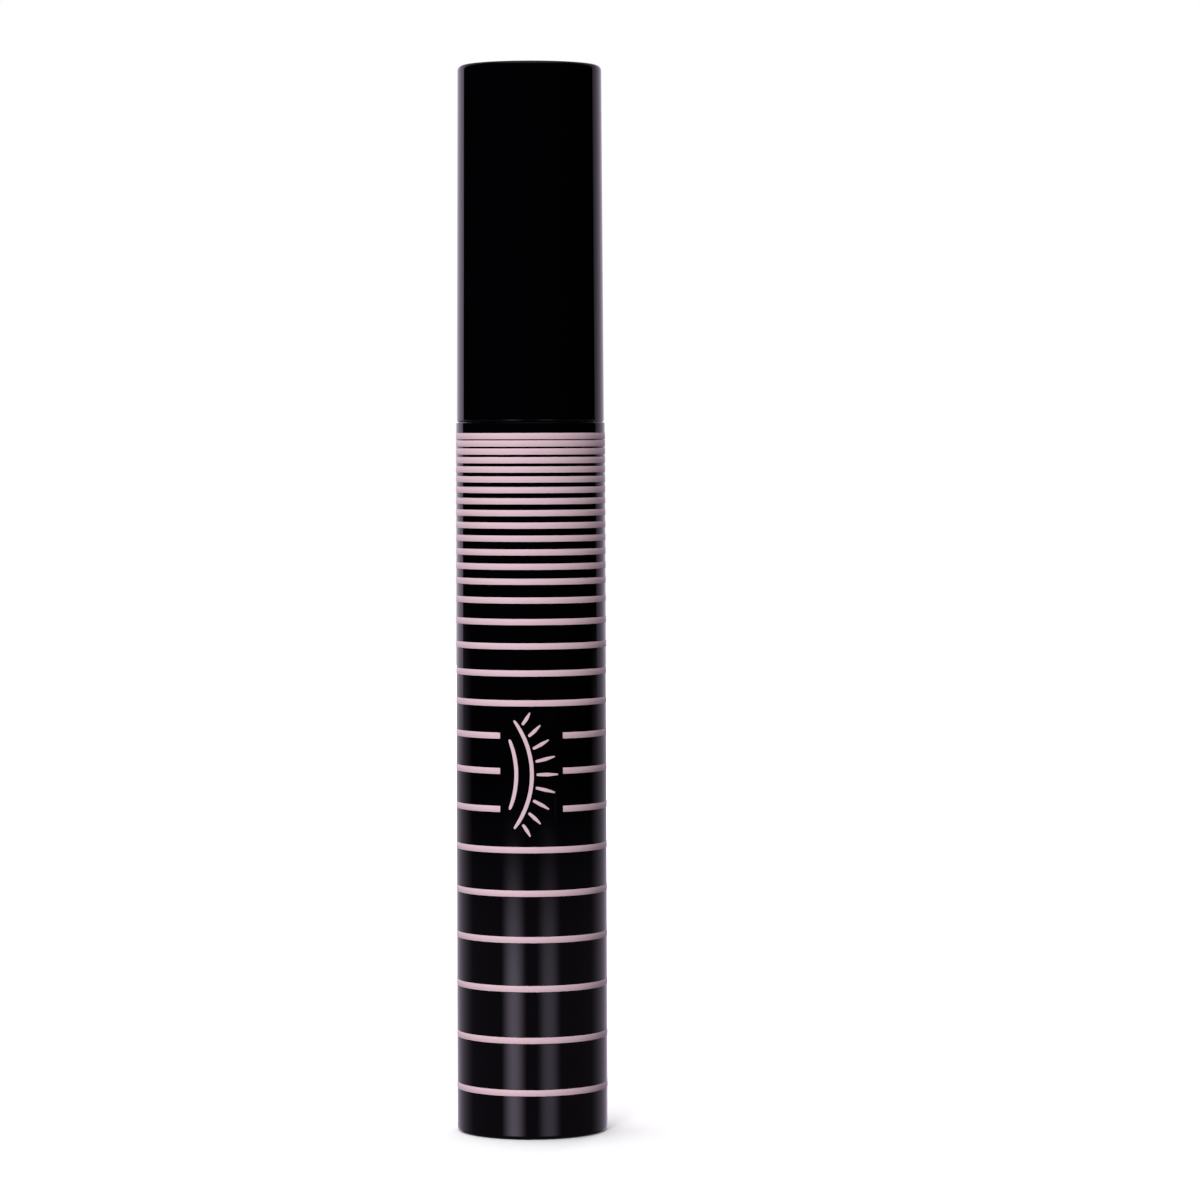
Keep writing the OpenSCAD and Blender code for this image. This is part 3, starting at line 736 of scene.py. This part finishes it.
def brush_tufts(name):
    """Tapered bristles held between the strands, so that they stand in a double helix."""
    graph, given, taken = group_tree(
        name, "GeometryNodeTree",
        {"Geometry": (GEOMETRY, None), "Count": (COUNT, 1500), "Base": (FLOAT, 7 * MM),
         "Length": (FLOAT, 28 * MM), "Radius": (FLOAT, 4.4 * MM), "Twist": (FLOAT, 3.1 * MM),
         "Fold": (FLOAT, 7 * MM), "Hair": (FLOAT, 0.05 * MM), "Sweep": (FLOAT, 0.16),
         "Tip Sweep": (FLOAT, 0.47), "Fan": (FLOAT, 0.2), "Seed": (COUNT, 7),
         "Finish": (FINISH, None)},
        {"Mesh": GEOMETRY})
    index = graph.add("GeometryNodeInputIndex")

    def scatter(low, high, salt):
        return graph.add("FunctionNodeRandomValue", {
            2: low, 3: high, "Seed": graph.plus(given["Seed"], float(salt))},
            out=1, data_type="FLOAT")

    along = graph.math("DIVIDE", graph.plus(index, scatter(-0.5, 0.5, 1)), given["Count"],
                       clamp=True)
    height = graph.math("MULTIPLY_ADD", along, given["Length"], given["Base"])
    points = graph.add("GeometryNodePoints", {0: given["Count"], 1: graph.vector(z=height)})
    # every second bristle leaves from the other side of the wire
    side = graph.times(graph.math("MODULO", index, 2.0), pi)
    twist = graph.times(graph.math("DIVIDE", graph.minus(given["Fold"], height),
                                   given["Twist"]), TURN)
    stray = graph.times(scatter(-1, 1, 2), scatter(0.3, 1, 3), given["Fan"])
    around = graph.plus(twist, side, stray, pi / 2)
    tip_share, lean_scatter = 0.10, 0.07
    lean = graph.plus(graph.ramp(along, 0.0, tip_share, given["Tip Sweep"], given["Sweep"]),
                      scatter(-lean_scatter, lean_scatter, 4))
    wave = graph.add("ShaderNodeFloatCurve", {1: along}, out=None)
    curve = wave.mapping.curves[0]
    for at, high in BRUSH_WAVE[1:-1]:
        curve.points.new(at, high)
    curve.points[0].location = BRUSH_WAVE[0]
    curve.points[-1].location = BRUSH_WAVE[-1]
    wave.mapping.update()
    long = graph.times(wave.outputs[0], given["Radius"], scatter(0.90, 1.02, 5))
    # one bristle: a cone of unit length along X, bowed a little and thinner at its tip
    tip_thinness, bow_depth = 0.45, 0.18 * MM
    cone = graph.add("GeometryNodeMeshCone", {
        0: 5, 1: 4, 2: 1, "Radius Top": graph.times(given["Hair"], tip_thinness),
        "Radius Bottom": given["Hair"], "Depth": 1.0}, fill_type="TRIANGLE_FAN")
    hair = graph.add("GeometryNodeTransform", {0: cone, "Rotation": (0, pi / 2, 0)})
    out = graph.add("ShaderNodeSeparateXYZ", {0: graph.add("GeometryNodeInputPosition")})
    hair = graph.add("GeometryNodeSetPosition", {
        0: hair, "Offset": graph.vector(z=graph.times(out, out, bow_depth))})
    tufts = graph.add("GeometryNodeInstanceOnPoints", {
        0: points, "Instance": hair, "Rotation": graph.vector(0.0, lean, around),
        "Scale": graph.vector(long, 1.0, 1.0)})
    return end_tree(graph, taken, tufts, given["Finish"])


def ridge_mesh(name, wall, base, facing, finish_name):
    """The mesh of one thread ridge on a wall of this radius, standing out or in."""
    sizes = bpy.context.scene.mascara_thread
    tree = group_once("Helical Ridge", helical_ridge)
    return outward(from_nodes(name, tree, {
        "Wall Radius": wall, "Base": base, "Pitch": THREAD_PITCH, "Turns": THREAD_TURNS,
        "Depth": sizes.depth, "Root": sizes.root, "Crest": sizes.crest, "Sunk": sizes.sunk,
        "Edge": sizes.edge, "Lead-in": sizes.lead_in, "Blunt": sizes.blunt, "Facing": facing,
        "Finish": finishes()[finish_name]}))


def thread_base():
    """Height at which the neck's ridge starts; the cap's starts half a pitch above it."""
    return (top_of("inner_bottle") - bpy.context.scene.mascara_thread.drop
            - THREAD_PITCH * THREAD_TURNS)


# ---- operators


class MASCARA_OT_sleeve(bpy.types.Operator):
    """Makes the glossy outer sleeve, straight below and slightly narrower above."""
    bl_idname = "mascara.sleeve"
    bl_label = "Bottle Sleeve"

    def execute(self, context):
        scene = context.scene
        size = scene.mascara_bottle
        _, top, outer = extent("bottle_sleeve")
        bore, hole = outer - size.wall, bore_radius(scene)
        piece = lathe("bottle_shell", [
            (bore, 0, 0.1 * MM), (outer, 0, size.base_edge), (outer, size.straight_height, 0),
            (sleeve_top_radius(scene), top, size.rim_edge), (hole, top, 0.08 * MM),
            (hole, top - size.web, 0.05 * MM), (bore, top - size.web, 0.3 * MM),
        ], segments=192, steps=8)
        settle(piece, "gloss_black", "bottle", "bottle_sleeve")
        return {"FINISHED"}


class MASCARA_OT_base(bpy.types.Operator):
    """Makes the plug that closes the sleeve's base, and the label in its hollow."""
    bl_idname = "mascara.base"
    bl_label = "Base Plug and Label"

    def execute(self, context):
        size = context.scene.mascara_bottle
        _, top, r = extent("base_plug")
        inner = r - size.foot_width
        plug = lathe("base_plug_moulding", [
            (0, size.foot_depth), (inner, size.foot_depth, 0.15 * MM), (inner, 0, 0.12 * MM),
            (r, 0, 0.15 * MM), (r, top, 0.2 * MM), (0, top)], closed=False)
        settle(plug, "satin_black", "bottle", "base_plug")
        low, high, r = extent("base_label")
        edge = 0.3 * (high - low)
        label = lathe("base_label_film", [
            (0, low), (r, low, edge), (r, high, edge), (0, high)], closed=False)
        settle(label, "label_film", "bottle", "base_label")
        return {"FINISHED"}


class MASCARA_OT_reservoir(bpy.types.Operator):
    """Makes the inner bottle: reservoir, shoulder, collar and threaded neck."""
    bl_idname = "mascara.reservoir"
    bl_label = "Inner Bottle"

    def execute(self, context):
        scene = context.scene
        size = scene.mascara_bottle
        low, rim, r = extent("inner_bottle")
        sleeve = top_of("bottle_sleeve")
        shoulder = sleeve - size.web - GAP
        roof = shoulder - size.shoulder
        collar, neck = bore_radius(scene) - GAP, neck_radius()
        neck_bore, bore = neck - size.neck_wall, r - size.vial_wall
        floor = low + size.vial_floor
        ridge = ridge_mesh("neck_ridge", neck, thread_base(), 1.0, "satin_black")
        piece = lathe("reservoir", [
            (0, low), (r, low, 0.5 * MM), (r, shoulder, 0.3 * MM), (collar, shoulder, 0.1 * MM),
            (collar, sleeve + size.collar_height, 0.15 * MM),
            (neck, sleeve + size.collar_height, 0.25 * MM), (neck, rim, 0.25 * MM),
            (neck_bore, rim, 0.15 * MM), (neck_bore, roof, 0.2 * MM), (bore, roof, 0.8 * MM),
            (bore, floor, 1 * MM), (0, floor),
        ], closed=False, extras=[ridge])
        settle(piece, "satin_black", "bottle", "inner_bottle")
        return {"FINISHED"}


class MASCARA_OT_fill(bpy.types.Operator):
    """Gives the mascara in the reservoir its wet finish."""
    bl_idname = "mascara.fill"
    bl_label = "Mascara"

    def execute(self, context):
        dress("mascara_fill", "mascara_cream")
        return {"FINISHED"}


class MASCARA_OT_wiper(bpy.types.Operator):
    """Makes the wiper: flange, tube, funnel and the opening that strips the stem."""
    bl_idname = "mascara.wiper"
    bl_label = "Wiper"

    def execute(self, context):
        scene = context.scene
        size = scene.mascara_wiper
        tube = neck_radius() - scene.mascara_bottle.neck_wall - GAP
        low, high, flange = extent("wiper")
        rim, funnel = top_of("inner_bottle"), low + size.orifice_length
        lip = size.orifice + size.wall
        piece = lathe("wiper_insert", [
            (size.orifice, low, 0.2 * MM), (lip, low, 0.2 * MM), (lip, funnel, 0.4 * MM),
            (tube, funnel + size.funnel, 0.8 * MM), (tube, rim, 0.08 * MM),
            (flange, rim, 0.1 * MM), (flange, high, 0.25 * MM),
            (tube - size.wall, high, 0.3 * MM), (tube - size.wall, funnel + size.funnel, 0.8 * MM),
            (size.orifice, funnel, 0.4 * MM)])
        settle(piece, "wiper_plastic", "bottle", "wiper")
        return {"FINISHED"}


class MASCARA_OT_bands(bpy.types.Operator):
    """Makes the printed bands, close at the top and wider apart below."""
    bl_idname = "mascara.bands"
    bl_label = "Printed Bands"

    def execute(self, context):
        size = context.scene.mascara_print
        names = sorted(n for n in frame["nodes"] if n.startswith("band_"))
        boxes = [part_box(n) for n in names]
        mesh = bpy.data.meshes.new("band_places")
        mesh.from_pydata([(0, 0, (low.z + high.z) / 2) for low, high in boxes], [], [])
        middle = 0.5 * (size.proud - size.bite)
        radius = [high.x - size.proud + middle for _, high in boxes]
        # a broken band reaches less far to the front than to the side
        broken = [float(low.y > -0.97 * high.x) for low, high in boxes]
        for label, values in (("reach", radius), ("broken", broken)):
            mesh.attributes.new(label, "FLOAT", "POINT").data.foreach_set("value", values)
        made = from_nodes("printed_bands", group_once("Printed Rings", printed_rings), {
            "Width": boxes[0][1].z - boxes[0][0].z, "Proud": size.proud, "Bite": size.bite,
            "Edge": size.edge, "Clear": size.clear, "Radius": max(radius),
            "Finish": finishes()["pale_pink_print"]}, mesh)
        piece = put("printed_bands", outward(made))
        settle(piece, "pale_pink_print", "bottle", *names)
        return {"FINISHED"}


class MASCARA_OT_motif(bpy.types.Operator):
    """Makes the printed closed eye that runs up the tube."""
    bl_idname = "mascara.motif"
    bl_label = "Printed Motif"

    def execute(self, context):
        scene = context.scene
        size = scene.mascara_print
        mesh = bmesh.new()
        half, middle = size.lid_length / 2, (base_of("motif") + top_of("motif")) / 2
        lid_r = (half * half + size.lid_bulge ** 2) / (2 * size.lid_bulge)
        lid_angle = asin(half / lid_r)
        lid_x = size.lid_bulge / 2 - lid_r - size.lid_offset

        def arc(x, reach, steps):
            return [(x + lid_r * cos(t), middle + lid_r * sin(t))
                    for t in (reach * (2 * k / steps - 1) for k in range(steps + 1))]

        def line_width(t):
            """Share of a stroke's width: full in the middle, narrowed at both ends."""
            return 0.40 + 0.60 * sqrt(max(0.0, 1 - (2 * t - 1) ** 6))

        def lash_width(t):
            """Share of a stroke's width along a lash: it swells, then narrows to its tip."""
            if t > 0.1:
                return (0.72 + 0.4 * t) * min(1, 1.75 - 1.45 * t)
            return 0.55 + 2.1 * t

        paint_stroke(scene, mesh, arc(lid_x, lid_angle, 56), line_width)
        crease_angle = lid_angle * size.crease_share
        paint_stroke(scene, mesh, arc(lid_x - size.crease_shift, crease_angle, 36), line_width)
        for i in range(size.lashes):
            place = 2 * i / (size.lashes - 1) - 1
            root = place * lid_angle * size.lash_spread
            way = root + size.lash_fan * place
            start = lid_r + size.stroke / 2 + size.lash_gap
            reach = size.lash * (1 - size.lash_shortening * abs(place))
            path, steps, curl = [], 12, 0.10
            for k in range(steps + 1):
                t = k / steps
                turn = way - curl * place * (1 - t)
                path.append((lid_x + start * cos(root) + reach * t * cos(turn),
                             middle + start * sin(root) + reach * t * sin(turn)))
            paint_stroke(scene, mesh, path, lash_width)
        bmesh.ops.recalc_face_normals(mesh, faces=mesh.faces)
        data = bpy.data.meshes.new("closed_eye")
        mesh.to_mesh(data)
        mesh.free()
        settle(put("closed_eye", data), "pale_pink_print", "bottle", "motif")
        return {"FINISHED"}


def paint_stroke(scene, mesh, path, width):
    """Adds a raised stroke on the sleeve's skin along (x, z) points, x measured round it."""
    bottle, ink = scene.mascara_bottle, scene.mascara_print
    _, top, outer = extent("bottle_sleeve")
    upper = sleeve_top_radius(scene)

    def skin_radius(z):
        over = max(0.0, z - bottle.straight_height) / (top - bottle.straight_height)
        return outer - (outer - upper) * over

    def on_sleeve(x, z, proud):
        a, r = x / skin_radius(z), skin_radius(z) + proud
        return mesh.verts.new((r * sin(a), -r * cos(a), z))

    last, rows = len(path) - 1, []
    for k, (x, z) in enumerate(path):
        ax, az = path[min(k + 1, last)]
        bx, bz = path[max(k - 1, 0)]
        run = hypot(ax - bx, az - bz)
        nx, nz = -(az - bz) / run, (ax - bx) / run
        w = ink.stroke / 2 * width(k / last)
        inset = min(ink.edge, 0.4 * w)
        rows.append([on_sleeve(x + s * nx, z + s * nz, h) for s, h in (
            (w, -ink.bite), (w, ink.proud - ink.edge), (w - inset, ink.proud),
            (0, ink.proud), (inset - w, ink.proud), (-w, ink.proud - ink.edge),
            (-w, -ink.bite))])
    for low, high in zip(rows, rows[1:]):
        for k in range(len(low)):
            n = (k + 1) % len(low)
            mesh.faces.new((low[k], low[n], high[n], high[k]))
    mesh.faces.new(rows[0])
    mesh.faces.new(rows[-1][::-1])


class MASCARA_OT_washer(bpy.types.Operator):
    """Makes the seal washer between the neck and the cap."""
    bl_idname = "mascara.washer"
    bl_label = "Seal Washer"

    def execute(self, context):
        bore = context.scene.mascara_wiper.washer_bore
        low, high, r = extent("seal_washer")
        edge = 0.12 * MM
        piece = lathe("foam_washer", [
            (bore, low, edge), (r, low, edge), (r, high, edge), (bore, high, edge)])
        settle(piece, "seal_rubber", "washer", "seal_washer")
        return {"FINISHED"}


class MASCARA_OT_weight(bpy.types.Operator):
    """Makes the turned steel weight in the cap's end."""
    bl_idname = "mascara.weight"
    bl_label = "Cap Weight"

    def execute(self, context):
        low, high, r = extent("cap_weight")
        cut, edge, centre, dish = 0.4 * MM, 0.05 * MM, 0.5 * MM, 0.25 * MM
        piece = lathe("steel_weight", [
            (0, low + dish), (centre, low), (r - cut, low, edge), (r, low + cut, edge),
            (r, high - cut, edge), (r - cut, high, edge), (centre, high), (0, high - dish),
        ], closed=False)
        settle(piece, "weight_steel", "weight", "cap_weight")
        return {"FINISHED"}


class MASCARA_OT_overcap(bpy.types.Operator):
    """Makes the glossy overcap."""
    bl_idname = "mascara.overcap"
    bl_label = "Overcap"

    def execute(self, context):
        scene = context.scene
        size = scene.mascara_cap
        low, high, mouth = extent("overcap")
        end, roof = cap_end_radius(scene), high - size.end_thickness
        piece = lathe("overcap_shell", [
            (0, roof), (end - size.wall, roof, 0.5 * MM), (mouth - size.wall, low, 0.12 * MM),
            (mouth, low, size.mouth_edge), (end, high, size.end_edge), (0, high),
        ], closed=False, segments=192, steps=10)
        settle(piece, "gloss_black", "applicator", "overcap")
        return {"FINISHED"}


class MASCARA_OT_inner_cap(bpy.types.Operator):
    """Makes the inner cap: threaded skirt, roof, stem seat and the riser under the weight."""
    bl_idname = "mascara.inner_cap"
    bl_label = "Inner Cap"

    def execute(self, context):
        scene = context.scene
        size, stem = scene.mascara_cap, scene.mascara_stem
        low, high, r = extent("inner_cap")
        bore, roof = bore_radius(scene), top_of("seal_washer") + GAP
        deck = roof + size.roof
        slope = size.draft / (top_of("overcap") - base_of("overcap"))
        upper = r - slope * (high - low)
        seat = stem.radius + stem.flange + GAP
        snap = deck + stem.flange_thickness + GAP
        ridge = ridge_mesh("cap_ridge", bore, thread_base() + THREAD_PITCH / 2, -1.0,
                           "satin_black")
        piece = lathe("inner_cap_moulding", [
            (bore, low, 0.3 * MM), (r, low, 0.2 * MM), (upper, high, 0.15 * MM),
            (upper - size.riser_wall, high, 0.15 * MM), (upper - size.riser_wall, deck, 0.4 * MM),
            (seat + size.head_wall, deck, 0.3 * MM),
            (seat + size.head_wall, snap + 2 * size.snap, 0.1 * MM),
            (seat, snap + 2 * size.snap), (seat - size.snap, snap + size.snap),
            (seat - size.snap, snap), (seat, snap), (seat, deck),
            (stem.radius + GAP, deck), (stem.radius + GAP, roof, 0.05 * MM),
            (bore, roof, 0.4 * MM),
        ], extras=[ridge])
        settle(piece, "satin_black", "applicator", "inner_cap")
        return {"FINISHED"}


class MASCARA_OT_stem(bpy.types.Operator):
    """Makes the stem: head, flange, slightly tapering shaft and nose."""
    bl_idname = "mascara.stem"
    bl_label = "Stem"

    def execute(self, context):
        scene = context.scene
        size = scene.mascara_stem
        low, high, _ = extent("stem")
        roof = top_of("seal_washer") + GAP
        deck = roof + scene.mascara_cap.roof
        flange, head = size.radius + size.flange, deck + size.flange_thickness
        edge = 0.15 * MM
        piece = lathe("applicator_stem", [
            (0, low + size.wire_depth), (size.wire_hole, low + size.wire_depth),
            (size.wire_hole, low, 0.08 * MM), (size.nose_radius, low, size.nose_edge),
            (size.low_radius, low + size.nose, 9 * MM), (size.radius, roof), (size.radius, deck),
            (flange, deck, edge), (flange, head, edge), (size.radius, head, edge),
            (size.radius, high, edge), (0, high),
        ], closed=False, segments=128, steps=8)
        settle(piece, "satin_black", "applicator", "stem")
        return {"FINISHED"}


class MASCARA_OT_wire(bpy.types.Operator):
    """Makes the twisted wire, folded at the tip."""
    bl_idname = "mascara.wire"
    bl_label = "Twisted Wire"

    def execute(self, context):
        size = context.scene.mascara_brush
        low, high, _ = extent("brush_wire")
        slit, sunk_end = 0.01 * MM, 0.1 * MM
        offset = size.strand + slit
        base = low + offset + size.strand
        made = from_nodes("twisted_wire", group_once("Twisted Strands", twisted_strands), {
            "Strand": size.strand, "Offset": offset, "Twist": size.twist, "Base": base,
            "Height": high - base - sunk_end, "Finish": finishes()["twisted_wire"]})
        settle(put("twisted_wire", outward(made)), "twisted_wire", "applicator", "brush_wire")
        return {"FINISHED"}


class MASCARA_OT_bristles(bpy.types.Operator):
    """Makes the bristles in their double helix, inside the brush's wavy outline."""
    bl_idname = "mascara.bristles"
    bl_label = "Bristles"

    def execute(self, context):
        size = context.scene.mascara_brush
        low, high, _ = extent("bristles")
        bare_tip, bare_end = 0.6 * MM, 0.1 * MM
        fold = base_of("brush_wire") + 2 * size.strand
        made = from_nodes("bristle_tufts", group_once("Brush Tufts", brush_tufts), {
            "Count": size.hair_count, "Base": low + bare_tip,
            "Length": high - low - bare_tip - bare_end,
            "Radius": size.radius, "Twist": size.twist, "Fold": fold, "Hair": size.hair,
            "Sweep": size.sweep, "Tip Sweep": size.tip_sweep, "Fan": size.fan,
            "Seed": size.seed, "Finish": finishes()["black_nylon"]})
        settle(put("bristle_tufts", made), "black_nylon", "applicator", "bristles")
        return {"FINISHED"}


class MASCARA_OT_stage(bpy.types.Operator):
    """Makes the floor, the studio's surroundings, the lamps and the camera."""
    bl_idname = "mascara.stage"
    bl_label = "Stage"

    def execute(self, context):
        scene = context.scene
        size = scene.mascara_stage
        scene.view_settings.view_transform = "Standard"
        scene.view_settings.look = "None"
        scene.world = studio_world()
        lens = bpy.data.cameras.new("camera")
        lens.lens, lens.sensor_width = size.lens, 36
        lens.clip_start, lens.clip_end = 0.01, 50
        camera = bpy.data.objects.new("camera", lens)
        camera.location = (0, -size.camera_distance, size.camera_height)
        camera.rotation_euler = (pi / 2 - size.camera_pitch, size.camera_roll, -size.camera_yaw)
        scene.collection.objects.link(camera)
        scene.camera = camera
        for name, place, aim, wide, watts in LAMPS:
            add_lamp(name, place, aim, wide, watts)
        mesh = bpy.data.meshes.new("floor")
        w = size.floor
        mesh.from_pydata([(-w, -w, 0), (w, -w, 0), (w, w, 0), (-w, w, 0)], [], [(0, 1, 2, 3)])
        mesh.materials.append(floor_finish())
        floor = put("floor", mesh)
        for ray in ("diffuse", "glossy", "transmission", "shadow"):
            setattr(floor, f"visible_{ray}", False)
        return {"FINISHED"}


# name, place, point aimed at, width and power: lamps that light the print and the floor softly,
# and that the gloss doesn't mirror
LAMPS = (
    ("front_lamp", (-0.30, -1.05, 0.30), (0, 0, 0.06), 0.30, 8.3),
    ("back_lamp", (0.35, 1.05, 0.35), (0, 0, 0.06), 0.30, 3.0),
    ("overhead_softbox", (-1.2, 0.7, 3.0), (-1.2, 0.7, 0.0), 6.0, 208.0),
)


def add_lamp(name, place, aim, wide, watts):
    light = bpy.data.lights.new(name, "AREA")
    light.shape, light.size, light.energy = "DISK", wide, watts
    lamp = bpy.data.objects.new(name, light)
    lamp.location = place
    way = [a - p for a, p in zip(aim, place)]
    lamp.rotation_euler = (atan2(hypot(way[0], way[1]), -way[2]), 0, atan2(-way[0], way[1]))
    lamp.visible_glossy = lamp.visible_camera = False
    bpy.context.scene.collection.objects.link(lamp)


def floor_finish():
    """A plain white floor with soft shadows near the tube. Painted light: the floor glows, from
    nothing near the tube to full strength farther away, so that it fades into the white beyond.
    """
    material = bpy.data.materials.new("white_floor")
    material.use_nodes = True
    graph = Graph(material.node_tree)
    white = graph.add("ShaderNodeBsdfDiffuse", {"Color": (0.9, 0.9, 0.9, 1)})
    away = graph.add("ShaderNodeVectorMath", {
        0: graph.add("ShaderNodeTexCoord", out="Object")}, out=1, operation="LENGTH")
    # painted light: the floor's own glow, none within near of the tube and full beyond far
    near, far = 0.08, 0.45
    glow = graph.add("ShaderNodeEmission", {"Strength": graph.ramp(away, near, far)})
    both = graph.add("ShaderNodeAddShader", {0: white, 1: glow})
    graph.add("ShaderNodeOutputMaterial", {"Surface": both}, out=None)
    return material


def studio_world():
    """Surroundings of a black object between flags: a white backdrop behind the tube that ends
    on either side, two narrow low panels in front, a faint floor and soft light from above.
    The camera itself sees plain white. Bounds are in degrees above the horizon (rise), round
    from straight behind the tube (from_back), or round from straight in front of it (front)."""
    world = bpy.data.worlds.new("studio")
    world.use_nodes = True
    graph = Graph(world.node_tree)
    ramp, times, plus = graph.ramp, graph.times, graph.plus
    x, y, z = graph.add("ShaderNodeSeparateXYZ", {
        0: graph.add("ShaderNodeTexCoord", out="Generated")}, out=None).outputs
    rise = times(graph.math("ARCSINE", z), degrees(1))
    from_back = times(graph.math("ARCTAN2", x, y), degrees(1))
    front = times(graph.math("ARCTAN2", x, times(y, -1.0)), degrees(1))
    low = ramp(rise, -1.8, -4.4)
    level = times(ramp(rise, 6.0, 30.0, 1.0, 0.25), ramp(rise, -14.0, -24.0, 1.0, 0.0))

    left = times(ramp(from_back, -50.2, -49.2),
                 ramp(from_back, -55.0, -20.0, 0.66, 0.9, smooth=False),
                 graph.math("LESS_THAN", from_back, 0.0))
    right = times(ramp(from_back, 57.6, 59.0, 1.0, 0.0),
                  ramp(from_back, 22.0, 56.0, 0.78, 0.24, smooth=False),
                  graph.math("GREATER_THAN", from_back, 0.0))
    backdrop = times(plus(left, right), level, graph.minus(1.0, low))
    below = times(ramp(graph.off(from_back, 0.0), 16.0, 76.0, 0.66, 0.0, smooth=False), low)

    def panel(middle, inner, outer, strength):
        """A panel in front that fades out from its inner half width to its outer one."""
        return times(ramp(graph.off(front, middle), inner, outer, strength, 0.0),
                     ramp(rise, -4.7, -6.9))

    panels = times(plus(below, panel(-28.5, 1.0, 21.0, 1.85), panel(26.0, 2.0, 20.0, 0.85)),
                   level)
    floor = times(ramp(rise, -4.0, -6.4), 0.07)
    above = ramp(rise, 55.0, 75.0, 0.0, 0.35)

    seen = graph.add("ShaderNodeLightPath", out="Is Camera Ray")
    strength = plus(seen, times(graph.minus(1.0, seen), plus(backdrop, panels, floor, above)))
    colour = graph.blend(seen, (1.0, 0.86, 1.10, 1), (1, 1, 1, 1))
    light = graph.add("ShaderNodeBackground", {"Color": colour, "Strength": strength})
    graph.add("ShaderNodeOutputWorld", {"Surface": light}, out=None)
    return world


OPERATORS = (
    MASCARA_OT_stage, MASCARA_OT_sleeve, MASCARA_OT_base, MASCARA_OT_reservoir,
    MASCARA_OT_fill, MASCARA_OT_wiper, MASCARA_OT_bands, MASCARA_OT_motif, MASCARA_OT_washer,
    MASCARA_OT_weight, MASCARA_OT_overcap, MASCARA_OT_inner_cap, MASCARA_OT_stem,
    MASCARA_OT_wire, MASCARA_OT_bristles,
)


class MASCARA_PT_pieces(bpy.types.Panel):
    """Lists the tube's pieces and the stage."""
    bl_label = "Mascara Tube"
    bl_space_type = "VIEW_3D"
    bl_region_type = "UI"
    bl_category = "Mascara"

    def draw(self, context):
        for operator in OPERATORS:
            self.layout.operator(operator.bl_idname)


def register():
    for cls in (*GROUPS.values(), *OPERATORS, MASCARA_PT_pieces):
        bpy.utils.register_class(cls)
    for name, group in GROUPS.items():
        setattr(bpy.types.Scene, name, PointerProperty(type=group))


def unregister():
    for name in GROUPS:
        delattr(bpy.types.Scene, name)
    for cls in reversed((*GROUPS.values(), *OPERATORS, MASCARA_PT_pieces)):
        bpy.utils.unregister_class(cls)


def main():
    register()
    for operator in OPERATORS:
        getattr(bpy.ops.mascara, operator.bl_idname.split(".")[1])()


if __name__ == "__main__":
    main()
